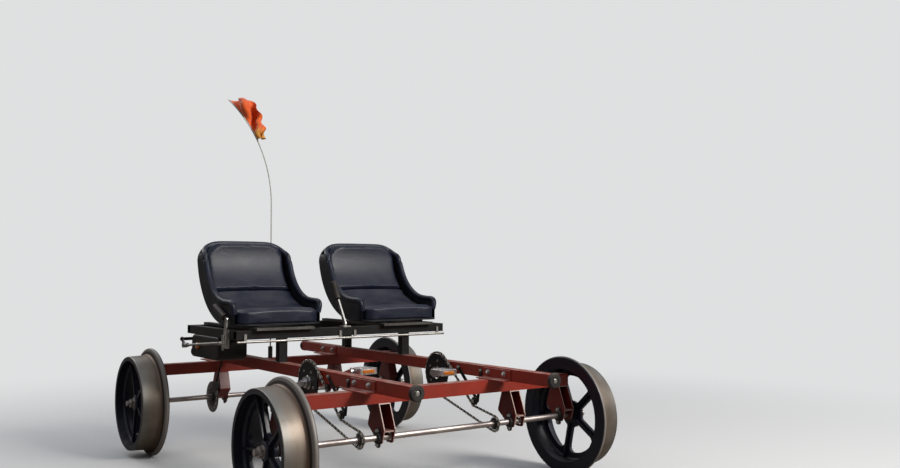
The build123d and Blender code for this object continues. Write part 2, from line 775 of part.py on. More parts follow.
def crank_arm(x_inner, hand, turn):
    """One crank arm. hand is the side of the beam that it is on."""
    x0, x1 = sorted((x_inner, x_inner + hand * arm_thickness))
    big = arm_big
    small = arm_small
    big_round = big * end_round_share
    small_round = small * end_round_share
    rows = [(-big, -big, big_round), (crank_length + small, -small, small_round),
            (crank_length + small, small, small_round), (-big, big, big_round)]
    arm = extrude(outline(rows, arm_place(x0, turn)), amount=arm_thickness, dir=(1, 0, 0))
    start = big + arm_groove_margin
    stop = crank_length - small - arm_groove_margin
    wide = big - arm_groove_margin
    narrow = small - arm_groove_tip_margin
    groove = [(start, -wide, arm_groove_round), (stop, -narrow, arm_groove_round),
              (stop, narrow, arm_groove_round), (start, wide, arm_groove_round)]
    x_cut = x1 - arm_groove if hand > 0 else x0 - overcut
    arm -= extrude(outline(groove, arm_place(x_cut, turn)), amount=arm_groove + overcut, dir=(1, 0, 0))
    a = math.radians(turn)
    arm -= rod_x(spindle_radius + press_gap, x0 - overcut, x1 + overcut, crank_axis_y, crank_axis_z)
    arm -= rod_x(pedal_pin_radius + running_gap, x0 - overcut, x1 + overcut,
                 crank_axis_y + crank_length * math.cos(a), crank_axis_z + crank_length * math.sin(a))
    return arm


def spider(x_ring, x_arm, turn):
    """Five arms that carry the chain ring, with the boss that joins them to the crank arm."""
    x_front = x_ring - tooth_width / 2
    body = rod_x(spider_boss, x_arm - overcut, x_front, crank_axis_y, crank_axis_z)
    half = spider_arm_width / 2
    rows = [(0, -half, 0), (spider_radius, -spider_tip_half, spider_tip_round),
            (spider_radius, spider_tip_half, spider_tip_round), (0, half, 0)]
    for i in range(spider_arms):
        place = arm_place(x_front - spider_thickness, turn + 180 / spider_arms + 360 / spider_arms * i)
        body += extrude(outline(rows, place), amount=spider_thickness, dir=(1, 0, 0))
    hole_x = x_arm - 2 * overcut
    return body - rod_x(spindle_radius + press_gap, hole_x, x_front + overcut, crank_axis_y, crank_axis_z)


def pedal(x_arm, hand, y, z):
    """A cage pedal: four walls, two tread ribs and a barrel on its pin."""
    near = x_arm + hand * pedal_gap
    far = near + hand * pedal_length
    x0, x1 = sorted((near, far))
    middle = (x0 + x1) / 2
    half_x = pedal_length / 2
    half_y = pedal_width / 2
    z0 = z - pedal_height / 2
    z1 = z + pedal_height / 2
    body = plate_xy(square_rows(middle, y, half_x, half_y, pedal_round), z0, z1)
    inner_rows = square_rows(middle, y, half_x - pedal_wall, half_y - pedal_wall, pedal_round - pedal_wall)
    body -= plate_xy(inner_rows, z0 - overcut, z1 + overcut)
    body += rod_x(pedal_barrel_radius, x0 + pedal_wall / 2, x1 - pedal_wall / 2, y, z)
    for k in (-1, 1):
        mid = y + k * pedal_rib_spacing / 2
        body += block((x0 + pedal_wall / 2, mid - pedal_rib / 2, z0 + pedal_wall),
                      (x1 - pedal_wall / 2, mid + pedal_rib / 2, z1 - pedal_wall))
    return body + rod_x(pedal_pin_radius, x_arm - hand * arm_thickness, near + hand * pedal_wall, y, z)


for side in ("left", "right"):
    x_mid = beam_x[side]
    spindle = rod_x(spindle_radius, x_mid - spindle_half, x_mid + spindle_half, crank_axis_y, crank_axis_z)
    save([spindle], f"crank_spindle_{side}")
    arms = []
    for name, hand, turn in (("a", 1, crank_angle[side]), ("b", -1, crank_angle[side] + 180)):
        arms.append(crank_arm(x_mid + hand * (spindle_half - arm_thickness), hand, turn))
        a = math.radians(turn)
        y = crank_axis_y + crank_length * math.cos(a)
        z = crank_axis_z + crank_length * math.sin(a)
        save([pedal(x_mid + hand * spindle_half, hand, y, z)], f"pedal_{side}_{name}")
        print(f"pedal_{side}_{name}", round(y, 3), round(z, 3))
    arms[1] += spider(x_mid - chain_line, x_mid - spindle_half + arm_thickness, crank_angle[side])
    save(arms, f"crank_arms_{side}")

# Brake disc and caliper beside the rear inner left hanger
disc_x = beam_x["left"] - disc_offset
disc_half = disc_thickness / 2
bore = shaft_radius + press_gap
disc = spun([(disc_x - disc_hub_half, bore, 0), (disc_x - disc_hub_half, disc_hub_radius, 0),
             (disc_x - disc_half, disc_hub_radius, 0), (disc_x - disc_half, disc_radius, 0),
             (disc_x + disc_half, disc_radius, 0), (disc_x + disc_half, disc_hub_radius, 0),
             (disc_x + disc_hub_half, disc_hub_radius, 0), (disc_x + disc_hub_half, bore, 0)],
            axle_y["rear"], axle_z)
for i in range(disc_hole_count):
    a = 2 * math.pi * i / disc_hole_count
    disc -= rod_x(disc_hole_radius, disc_x - disc_thickness, disc_x + disc_thickness,
                  axle_y["rear"] + disc_hole_circle * math.cos(a), axle_z + disc_hole_circle * math.sin(a))
save([disc], "brake_disc")

hanger_face_x = beam_x["left"] + hanger_rear_offset - hanger_width / 2
caliper_half = caliper_width / 2
caliper = plate_yz(square_rows(caliper_y, caliper_z, caliper_half, caliper_half, caliper_round),
                   2 * disc_x - hanger_face_x, hanger_face_x)
caliper -= rod_x(disc_radius + disc_thickness, disc_x - caliper_slot / 2, disc_x + caliper_slot / 2,
                 axle_y["rear"], axle_z)
link_top = Vector(disc_x, *brake_arm_tip)
link_low = Vector(disc_x, caliper_y - link_radius, caliper_z + caliper_half)
link_run = (link_low - link_top).normalized()
link_end = link_low + link_run * link_depth
caliper -= rod_between(link_radius + press_gap, tuple(link_low - link_run * link_depth),
                       tuple(link_end + link_run))
save([caliper], "brake_caliper")

# Seat frame: two cross tubes and two end tubes on four posts, with a rod under the front one
cross_tubes = []
for y in seat_tube_y.values():
    cross_tubes.append(tube_x(seat_tube, seat_tube_wall, seat_tube_half, y, seat_tube_bottom_z))
rod_y = seat_tube_front_y - seat_tube / 2 - front_rod_radius - front_rod_gap
rod_z = seat_tube_bottom_z - front_rod_drop - front_rod_radius
cross_tubes[0] += rod_x(front_rod_radius, -seat_tube_half, seat_tube_half, rod_y, rod_z)
tab_y = rod_y + front_rod_radius + 2 * front_rod_gap
for x in (seat_tube - seat_tube_half, -seat_tube, seat_tube, seat_tube_half - seat_tube):
    cross_tubes[0] += block((x - front_rod_radius, rod_y, rod_z),
                            (x + front_rod_radius, tab_y, front_tab_top_z))
save(cross_tubes, "seat_cross_tubes")
end_tubes = []
for sign in (-1, 1):
    x0, x1 = sorted((sign * seat_tube_half, sign * (seat_tube_half - seat_tube)))
    end_tubes.append(block((x0, seat_tube_front_y + seat_tube / 2, seat_tube_bottom_z),
                           (x1, seat_tube_rear_y - seat_tube / 2, seat_tube_top_z)))
save(end_tubes, "seat_end_tubes")
posts = []
for x in beam_x.values():
    for y in seat_tube_y.values():
        posts.append(block((x - seat_tube / 2, y - seat_tube / 2, beam_top_z),
                           (x + seat_tube / 2, y + seat_tube / 2, seat_tube_bottom_z)))
posts[1] -= rod_x(brake_shaft_radius + rest_gap, beam_x["left"] - seat_tube, beam_x["left"] + seat_tube,
                  seat_tube_rear_y, brake_shaft_z)
save(posts, "seat_posts")


def seat_rails(x):
    """Two rails that the seat slides on, joined by a bar across their noses."""
    nose_y = seat_tube_front_y - seat_tube / 2 - rail_nose
    rails = block((x - slide_spacing / 2, nose_y, seat_tube_top_z),
                  (x + slide_spacing / 2, nose_y + rail_height, rail_top_z))
    for k in (-1, 1):
        mid = x + k * slide_spacing / 2
        rails += block((mid - slide_width / 2, nose_y, seat_tube_top_z),
                       (mid + slide_width / 2, seat_tube_rear_y + seat_tube / 2, rail_top_z))
    return rails


def scoop(x, shrink, inset, depth, corner):
    """The seat's bent band between two depths inside its outer line, rounded in plan and from the front."""
    half = seat_width / 2 - shrink
    rows = [
        (seat_front_y, seat_bottom_z + inset, 0),
        (seat_back_y - inset, seat_bottom_z + inset, seat_bend - inset),
        (seat_back_y - inset, seat_top_z, 0),
        (seat_back_y - depth, seat_top_z, corner),
        (seat_back_y - depth, seat_bottom_z + depth, seat_bend - depth),
        (seat_front_y, seat_bottom_z + depth, corner),
    ]
    band = plate_yz(rows, x - half, x + half)
    far = 2 * seat_width
    front_round = seat_front_round - shrink
    plan = [(x - half, seat_front_y, front_round), (x + half, seat_front_y, front_round),
            (x + half, seat_front_y + far, 0), (x - half, seat_front_y + far, 0)]
    top_round = seat_shoulder_round - shrink
    front = [(x - half, seat_top_z, top_round), (x + half, seat_top_z, top_round),
             (x + half, seat_top_z - far, 0), (x - half, seat_top_z - far, 0)]
    band = band & plate_xy(plan, seat_bottom_z - overcut, seat_top_z + overcut)
    return band & plate_xz(front, seat_front_y - overcut, seat_back_y + overcut)


def seat_shell(x):
    """The seat's moulded shell with its side wings, and a runner over each rail."""
    body = scoop(x, 0, 0, seat_pad + seat_wing, seat_wing_round)
    half = seat_width / 2 - seat_side_wall
    hollow = [
        (seat_front_y - overcut, seat_bottom_z + seat_shell_wall, 0),
        (seat_back_y - seat_shell_wall, seat_bottom_z + seat_shell_wall, seat_bend - seat_shell_wall),
        (seat_back_y - seat_shell_wall, seat_top_z + overcut, 0),
        (seat_front_y - overcut, seat_top_z + overcut, 0),
    ]
    body -= plate_yz(hollow, x - half, x + half)
    runner_top_z = seat_bottom_z + seat_shell_wall / 2
    for k in (-1, 1):
        mid = x + k * slide_spacing / 2
        body += block((mid - runner_half, seat_front_y + runner_inset, rail_top_z + rest_gap),
                      (mid + runner_half, seat_back_y - seat_bend + runner_inset, runner_top_z))
    return body


def seat_pads(x):
    """The seat pad and the back pad, parted at the middle of the bend."""
    band = scoop(x, seat_side_wall + pad_gap, seat_shell_wall + pad_gap, seat_pad, 0)
    y = seat_back_y - seat_bend
    z = seat_bottom_z + seat_bend
    far = 2 * seat_bend
    low = [(y - far, z - pad_gap, 0), (y, z - pad_gap, 0),
           (y + far, z - far - pad_gap, 0), (y - far, z - far - pad_gap, 0)]
    high = [(y, z, 0), (y + far, z - far, 0), (y + far, z + far, 0), (y, z + far, 0)]
    return [band & plate_yz(rows, x - seat_width, x + seat_width) for rows in (low, high)]


for side in ("left", "right"):
    x = beam_x[side]
    cushion, back = seat_pads(x)
    save([seat_rails(x)], f"seat_rails_{side}")
    save([seat_shell(x)], f"seat_shell_{side}")
    save([cushion], f"seat_cushion_{side}")
    save([back], f"seat_back_{side}")

# Storage case, hung under the left end tube
case_x0 = -seat_tube_half - case_overhang
case_x1 = case_x0 + case_width
case_y1 = case_front_y + case_length
case_z1 = seat_tube_bottom_z - rest_gap
case = block((case_x0, case_front_y, case_z1 - case_height), (case_x1, case_y1, case_z1))
case = fillet(case.edges().filter_by(Axis.X), case_round)
case = fillet(case.faces().sort_by(Axis.X)[0].edges(), case_edge_round)
case = chamfer(case.faces().sort_by(Axis.X)[-1].edges(), case_edge_round)
seam_z = case_z1 - case_seam_drop
seam = block((case_x0 - overcut, case_front_y - overcut, seam_z),
             (case_x1 + overcut, case_y1 + overcut, seam_z + case_seam))
seam -= block((case_x0 + case_seam, case_front_y + case_seam, seam_z),
              (case_x1 - case_seam, case_y1 - case_seam, seam_z + case_seam))
save([case - seam], "storage_case")
lamp = rod_x(lamp_radius, case_x0 - rest_gap - lamp_depth, case_x0 - rest_gap, lamp_y, lamp_z)
lamp = chamfer(lamp.edges().sort_by(Axis.X)[0], lamp_chamfer)
save([lamp], "marker_lamp")


def lever_grip(x, start, end, length):
    """A grip on the end of a lever that runs from start to end, both (y, z)."""
    a = Vector(x, *start)
    b = Vector(x, *end)
    along = (b - a).normalized()
    grip = Cylinder(grip_radius, length, align=(Align.CENTER, Align.CENTER, Align.MIN))
    grip = fillet(grip.edges().sort_by(Axis.Z)[-1], grip_round)
    return Plane(origin=b + along * rest_gap, x_dir=(1, 0, 0), z_dir=along) * grip


# Brake lever on the left end tube: bracket, pin, forked link and bent handle
bracket_x1 = -seat_tube_half
bracket_x0 = bracket_x1 - lever_bracket_thickness
bracket_low_z = lever_pivot_z - lever_bracket_half
lever = plate_yz([(lever_pivot_y - lever_bracket_half, bracket_low_z, lever_bracket_round),
                  (lever_pivot_y + lever_bracket_half, bracket_low_z, lever_bracket_round),
                  (lever_pivot_y + lever_bracket_half, seat_tube_top_z, lever_bracket_top_round),
                  (lever_pivot_y - lever_bracket_half, seat_tube_top_z, lever_bracket_top_round)],
                 bracket_x0, bracket_x1)
lever_x1 = bracket_x0 - lever_gap
lever_x0 = lever_x1 - lever_thickness
pivot = (lever_pivot_y, lever_pivot_z)
elbow = (lever_elbow_y, lever_elbow_z)
handle = Vector(lever_tip_y - lever_elbow_y, lever_tip_z - lever_elbow_z)
stub = Vector(*elbow) + handle.normalized() * (handle.length - grip_length - lever_tip_half)
lever += plate_yz(bar_rows(pivot, elbow, lever_half, lever_elbow_half), lever_x0, lever_x1)
lever += plate_yz(bar_rows(elbow, (stub.X, stub.Y), lever_elbow_half, lever_tip_half), lever_x0, lever_x1)
fork_x1 = lever_x0 - fork_gap
fork_x0 = fork_x1 - fork_thickness
prong = fork_slot_half + fork_prong
fork = [(-prong, fork_rise, fork_tip_round), (-prong, 0, fork_bend_round),
        (-fork_prong, -fork_drop / 2, fork_waist_round), (-fork_prong, -fork_drop, fork_foot_round),
        (fork_prong, -fork_drop, fork_foot_round), (fork_prong, -fork_drop / 2, fork_waist_round),
        (prong, 0, fork_bend_round), (prong, fork_rise, fork_tip_round),
        (fork_slot_half, fork_rise, fork_slot_tip_round), (fork_slot_half, fork_prong, fork_slot_round),
        (-fork_slot_half, fork_prong, fork_slot_round), (-fork_slot_half, fork_rise, fork_slot_tip_round)]
lever += plate_yz([(lever_pivot_y + u, lever_pivot_z + v, r) for u, v, r in fork], fork_x0, fork_x1)
lever += rod_x(lever_pin_radius, fork_x0 - fork_pin_end, bracket_x0, *pivot)

# Lever between the seats, on the front cross tube
base_top_z = seat_tube_top_z + centre_base_height
centre = block((-centre_base_half, seat_tube_front_y - seat_tube / 2, seat_tube_top_z),
               (centre_base_half, seat_tube_front_y + seat_tube / 2, base_top_z))
centre_half = centre_lever_thickness / 2
centre_foot = (centre_lever_foot_y, base_top_z + centre_lever_half)
centre_tip = (centre_lever_tip_y, centre_lever_tip_z)
centre += plate_yz(bar_rows(centre_foot, centre_tip, centre_lever_half, centre_lever_tip_half),
                   -centre_half, centre_half)
centre += block((-centre_half, centre_lever_foot_y - centre_lever_half, seat_tube_top_z + overcut),
                (centre_half, centre_lever_foot_y + centre_lever_half, base_top_z + centre_lever_half))
save([lever, centre], "brake_lever")
stub_end = stub + handle.normalized() * lever_tip_half
centre_run = (Vector(*centre_tip) - Vector(*centre_foot)).normalized()
centre_end = Vector(*centre_tip) + centre_run * centre_lever_tip_half
save([lever_grip((lever_x0 + lever_x1) / 2, elbow, (stub_end.X, stub_end.Y), grip_length),
      lever_grip(0, centre_foot, (centre_end.X, centre_end.Y), centre_grip_length)], "lever_grip")

# The pull rod back to the cross shaft, and the rod down to the caliper
pull_x = fork_x0 - fork_pin_end - press_gap - pull_rod_radius - pull_rod_gap
pull_end = Vector(pull_x, pull_rod_end_y, pull_rod_end_z)
pull_run = (pull_end - Vector(pull_x, *pivot)).normalized()
clevis_end = pull_end + pull_run * clevis_length
pull = rod_between(pull_rod_radius, (pull_x, *pivot), tuple(pull_end))
pull += rod_between(clevis_radius, tuple(pull_end), tuple(clevis_end))
pull += rod_x(pull_eye_radius, pull_x - pull_eye_half, fork_x0 - fork_pin_end - press_gap, *pivot)
shaft_spot = (seat_tube_rear_y, brake_shaft_z)
arm_half = brake_arm_thickness / 2
pull += plate_yz(bar_rows(shaft_spot, (clevis_end.Y, clevis_end.Z), brake_arm_half, brake_arm_tip_half),
                 pull_x - arm_half, pull_x + arm_half)
pull += rod_x(clevis_eye_radius, pull_x - clevis_eye_half, pull_x + clevis_eye_half,
              clevis_end.Y, clevis_end.Z)
pull += rod_x(brake_shaft_radius, pull_x - arm_half - brake_shaft_end,
              beam_x["left"] + seat_tube / 2 + brake_shaft_end, *shaft_spot)
pull += plate_yz(bar_rows(shaft_spot, brake_arm_tip, brake_arm_half, brake_arm_tip_half),
                 disc_x - arm_half, disc_x + arm_half)
pull += rod_x(link_eye_radius, disc_x - link_eye_half, disc_x + link_eye_half, *brake_arm_tip)
pull += rod_between(link_radius, tuple(link_top), tuple(link_end))
save([pull], "brake_rod")

# Flag whip and flag
lean = math.radians(whip_lean_heading)
lean_dir = Vector(math.cos(lean), math.sin(lean), 0)
whip_foot = Vector(whip_x, cross_y["rear"], cross_top_z)


def whip_point(angle, offset):
    """A point at the given angle along the whip's bent stretch, offset out from its bend centre."""
    a = math.radians(angle)
    r = whip_bend + offset
    level = Vector(0, 0, whip_straight_top_z - cross_top_z + r * math.sin(a))
    return whip_foot + lean_dir * (whip_bend - r * math.cos(a)) + level


path = Wire.combine([
    Line(whip_foot, whip_point(0, 0)),
    ThreePointArc(whip_point(0, 0), whip_point(whip_bend_angle / 2, 0), whip_point(whip_bend_angle, 0)),
])[0]
whip = sweep(Plane(origin=whip_foot, z_dir=(0, 0, 1)) * Circle(whip_radius), path=path)
whip += Pos(*whip_foot) * Cylinder(socket_radius, socket_height,
                                   align=(Align.CENTER, Align.CENTER, Align.MIN))
save([whip], "flag_whip")

fly = math.radians(flag_fly_heading)
fly_dir = Vector(math.cos(fly), math.sin(fly), 0)
half = flag_thickness / 2
flag_angles = (flag_low_angle, (flag_low_angle + flag_high_angle) / 2, flag_high_angle)
outer = [whip_point(angle, half) for angle in flag_angles]
inner = [whip_point(angle, -half) for angle in reversed(flag_angles)]
strip = make_face(Wire.combine([
    ThreePointArc(*outer), Line(outer[-1], inner[0]), ThreePointArc(*inner), Line(inner[-1], outer[0]),
])[0])
sleeve_gap = (whip_radius + rest_gap) / abs(math.sin(lean - fly))
save([Pos(*(fly_dir * sleeve_gap)) * extrude(strip, amount=flag_fly, dir=fly_dir)], "flag")
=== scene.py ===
import bmesh
import bpy
import math
from mathutils import Matrix, Vector, noise


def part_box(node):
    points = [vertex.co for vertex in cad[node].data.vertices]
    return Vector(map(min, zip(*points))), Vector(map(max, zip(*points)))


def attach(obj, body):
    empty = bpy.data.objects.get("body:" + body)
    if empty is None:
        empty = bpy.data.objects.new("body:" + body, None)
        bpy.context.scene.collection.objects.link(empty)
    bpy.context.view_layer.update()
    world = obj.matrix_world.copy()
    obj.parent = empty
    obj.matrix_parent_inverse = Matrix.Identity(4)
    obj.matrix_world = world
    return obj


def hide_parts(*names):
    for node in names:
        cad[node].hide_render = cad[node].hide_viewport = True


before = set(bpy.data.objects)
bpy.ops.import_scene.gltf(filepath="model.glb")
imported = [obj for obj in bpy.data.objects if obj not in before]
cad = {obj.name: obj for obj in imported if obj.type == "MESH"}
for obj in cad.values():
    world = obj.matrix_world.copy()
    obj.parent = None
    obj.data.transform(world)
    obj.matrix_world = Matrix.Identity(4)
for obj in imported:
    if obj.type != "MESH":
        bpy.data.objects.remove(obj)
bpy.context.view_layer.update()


def middle(node):
    """The middle of a node's box."""
    low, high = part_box(node)
    return (low + high) / 2


# Sizes read off the frame, in metres
CRANK_Y, CRANK_Z = middle("crank_arms_left").yz
BEAM_X = -middle("crank_arms_left").x
BEAM_END, BEAM_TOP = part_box("side_beam_left")[1].yz
CROSS_IN, CROSS_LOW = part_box("cross_beam_rear")[0].yz
CROSS_OUT, CROSS_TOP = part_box("cross_beam_rear")[1].yz
BEAM_HALF = (BEAM_TOP - CROSS_TOP) / 2
AXLE_Y, AXLE_Z = middle("rear_axle").yz
CHAIN_LINE = -middle("chain_left").x - BEAM_X
SEAT_TUBE_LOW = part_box("seat_end_tubes")[0].z
SEAT_TUBE_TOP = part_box("seat_end_tubes")[1].z
END_SIGN = {"front": -1, "rear": 1}

# Hangers: the end they stand at, their middle, and the side that the bearing is bolted to
HANGERS = [(end, middle(f"hanger_{end}_{place}").x, side) for end, place, side in (
    ("front", "outer_left", 1), ("front", "inner_left", -1),
    ("front", "inner_right", -1), ("front", "outer_right", -1),
    ("rear", "outer_left", 1), ("rear", "inner_left", 1),
    ("rear", "inner_right", -1), ("rear", "outer_right", -1))]
HANGER_HALF = middle("hanger_rear_outer_right").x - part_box("hanger_rear_outer_right")[0].x

# The angle of each crank's +X arm, in degrees
CRANK_TURN = {"left": 162.0, "right": -7.0}


# Materials

class Board:
    """A material or node group being wired up."""

    def __init__(self, tree):
        self.tree = tree

    def add(self, kind, **settings):
        node = self.tree.nodes.new(kind)
        for key, value in settings.items():
            setattr(node, key, value)
        return node

    def feed(self, socket, value):
        if isinstance(value, bpy.types.NodeSocket):
            self.tree.links.new(value, socket)
        elif isinstance(value, (tuple, list)) and socket.type == "RGBA" and len(value) == 3:
            socket.default_value = (*value, 1.0)
        else:
            socket.default_value = value

    def maths(self, operation, a, b=None, clamp=False):
        node = self.add("ShaderNodeMath", operation=operation, use_clamp=clamp)
        self.feed(node.inputs[0], a)
        if b is not None:
            self.feed(node.inputs[1], b)
        return node.outputs[0]

    def mix(self, factor, a, b):
        node = self.add("ShaderNodeMix", data_type="RGBA")
        self.feed(node.inputs[0], factor)
        self.feed(node.inputs[6], a)
        self.feed(node.inputs[7], b)
        return node.outputs[2]

    def blend(self, factor, a, b):
        node = self.add("ShaderNodeMix", data_type="FLOAT")
        self.feed(node.inputs[0], factor)
        self.feed(node.inputs[2], a)
        self.feed(node.inputs[3], b)
        return node.outputs[0]

    def ramp(self, value, low, high):
        """A smooth step from 0 at low to 1 at high. High may be the smaller."""
        node = self.add("ShaderNodeMapRange", interpolation_type="SMOOTHSTEP")
        self.feed(node.inputs["Value"], value)
        self.feed(node.inputs["From Min"], low)
        self.feed(node.inputs["From Max"], high)
        return node.outputs[0]

    def place(self):
        return self.add("ShaderNodeTexCoord").outputs["Object"]

    def stretch(self, vector, scale):
        node = self.add("ShaderNodeMapping")
        self.feed(node.inputs["Vector"], vector)
        self.feed(node.inputs["Scale"], scale)
        return node.outputs[0]

    def cloud(self, vector, scale, detail=4.0, roughness=0.55):
        node = self.add("ShaderNodeTexNoise")
        self.feed(node.inputs["Vector"], vector)
        self.feed(node.inputs["Scale"], scale)
        self.feed(node.inputs["Detail"], detail)
        self.feed(node.inputs["Roughness"], roughness)
        return node.outputs["Fac"]

    def split(self, vector):
        node = self.add("ShaderNodeSeparateXYZ")
        self.feed(node.inputs[0], vector)
        return node.outputs

    def use(self, group, **values):
        node = self.add("ShaderNodeGroup")
        node.node_tree = group
        for name, value in values.items():
            self.feed(node.inputs[name.replace("_", " ")], value)
        return node.outputs


def open_group(name, inputs, outputs):
    """A shader node group with named float inputs and outputs."""
    tree = bpy.data.node_groups.new(name, "ShaderNodeTree")
    for label, value in inputs.items():
        socket = tree.interface.new_socket(name=label, in_out="INPUT", socket_type="NodeSocketFloat")
        socket.default_value = value
    for label in outputs:
        tree.interface.new_socket(name=label, in_out="OUTPUT", socket_type="NodeSocketFloat")
    board = Board(tree)
    return tree, board, board.add("NodeGroupInput").outputs, board.add("NodeGroupOutput").inputs


def edge_wear_group():
    """Edges rubbed through: where a rounded normal parts from the true one, broken up by noise."""
    tree, b, given, out = open_group("edge wear", {"Width": 0.003, "Amount": 1.0, "Scale": 40.0}, ["Mask"])
    rounded = b.add("ShaderNodeBevel", samples=4)
    b.feed(rounded.inputs["Radius"], given["Width"])
    compare = b.add("ShaderNodeVectorMath", operation="DOT_PRODUCT")
    b.feed(compare.inputs[0], rounded.outputs[0])
    b.feed(compare.inputs[1], b.add("ShaderNodeNewGeometry").outputs["Normal"])
    edge = b.ramp(compare.outputs["Value"], 0.99, 0.78)
    patchy = b.cloud(b.place(), given["Scale"], 5.0, 0.65)
    broken = b.ramp(patchy, 0.42, 0.66)
    rubbed = b.maths("MULTIPLY", edge, broken)
    b.feed(out["Mask"], b.maths("MULTIPLY", rubbed, given["Amount"], clamp=True))
    return tree


def dust_and_top_highlight_group():
    """Dust and a painted highlight on faces that look up, thicker in patches, with a little on all the
    others.
    """
    tree, b, given, out = open_group(
        "settled dust and painted top highlight", {"Amount": 0.5, "Scale": 14.0, "Everywhere": 0.1}, ["Mask"])
    up = b.split(b.add("ShaderNodeTexCoord").outputs["Normal"])["Z"]
    upward = b.ramp(up, 0.25, 0.95)
    patches = b.ramp(b.cloud(b.place(), given["Scale"], 6.0, 0.6), 0.30, 0.75)
    settled = b.maths("MULTIPLY", b.maths("ADD", upward, given["Everywhere"]), patches)
    b.feed(out["Mask"], b.maths("MULTIPLY", settled, given["Amount"], clamp=True))
    return tree


def mottle_group():
    """Slow changes of tone over a surface, with finer specks."""
    tree, b, given, out = open_group("mottle", {"Scale": 6.0, "Speck scale": 220.0}, ["Tone", "Speck"])
    place = b.place()
    b.feed(out["Tone"], b.ramp(b.cloud(place, given["Scale"], 5.0, 0.6), 0.30, 0.70))
    b.feed(out["Speck"], b.ramp(b.cloud(place, given["Speck scale"], 2.0, 0.5), 0.60, 0.72))
    return tree


def scratch_group():
    """Fine scratches that run mostly one way. The stretch inputs set the way."""
    stretches = ("Along X", "Along Y", "Along Z")
    tree, b, given, out = open_group("scratches", {**dict.fromkeys(stretches, 4.0), "Cut": 0.62}, ["Mask"])
    size = b.add("ShaderNodeCombineXYZ")
    for socket, name in zip(size.inputs, stretches):
        b.feed(socket, given[name])
    lines = b.cloud(b.stretch(b.place(), size.outputs[0]), 40.0, 3.0, 0.7)
    b.feed(out["Mask"], b.ramp(lines, given["Cut"], b.maths("ADD", given["Cut"], 0.06)))
    return tree


def hide_grain_group():
    """Vinyl's pressed grain: small cells with soft creases."""
    tree, b, given, out = open_group("hide grain", {"Scale": 420.0}, ["Height"])
    place = b.place()
    wander = b.cloud(place, 60.0, 2.0, 0.5)
    nudge = b.add("ShaderNodeVectorMath", operation="SCALE")
    b.feed(nudge.inputs[0], (1.0, 1.0, 1.0))
    b.feed(nudge.inputs["Scale"], b.maths("MULTIPLY", wander, 0.01))
    shifted = b.add("ShaderNodeVectorMath", operation="ADD")
    b.feed(shifted.inputs[0], place)
    b.feed(shifted.inputs[1], nudge.outputs[0])
    cells = b.add("ShaderNodeTexVoronoi", feature="DISTANCE_TO_EDGE")
    b.feed(cells.inputs["Vector"], shifted.outputs[0])
    b.feed(cells.inputs["Scale"], given["Scale"])
    b.feed(out["Height"], b.ramp(cells.outputs["Distance"], 0.0, 0.22))
    return tree


def wheel_place_group():
    """Distance from the nearer axle, and distance out from the car's middle."""
    tree, b, given, out = open_group("wheel place", {"Axle Y": AXLE_Y, "Axle Z": AXLE_Z}, ["Radius", "Out"])
    at = b.split(b.place())
    along = b.maths("SUBTRACT", b.maths("ABSOLUTE", at["Y"]), given["Axle Y"])
    up = b.maths("SUBTRACT", at["Z"], given["Axle Z"])
    squares = b.maths("ADD", b.maths("MULTIPLY", along, along), b.maths("MULTIPLY", up, up))
    b.feed(out["Radius"], b.maths("SQRT", squares))
    b.feed(out["Out"], b.maths("ABSOLUTE", at["X"]))
    return tree


EDGE_WEAR = edge_wear_group()
DUST_AND_TOP_HIGHLIGHT = dust_and_top_highlight_group()
MOTTLE = mottle_group()
SCRATCHES = scratch_group()
HIDE_GRAIN = hide_grain_group()
WHEEL_PLACE = wheel_place_group()
# This colour serves both as dust and as a painted highlight on faces that look up.
DUST_AND_HIGHLIGHT_COLOUR = (0.42, 0.36, 0.29)


def start_material(name):
    material = bpy.data.materials.new(name)
    material.use_nodes = True
    return material, Board(material.node_tree), material.node_tree.nodes["Principled BSDF"].inputs


def bump(b, shader, height, strength, distance):
    node = b.add("ShaderNodeBump")
    b.feed(node.inputs["Strength"], strength)
    b.feed(node.inputs["Distance"], distance)
    b.feed(node.inputs["Height"], height)
    b.feed(shader["Normal"], node.outputs[0])


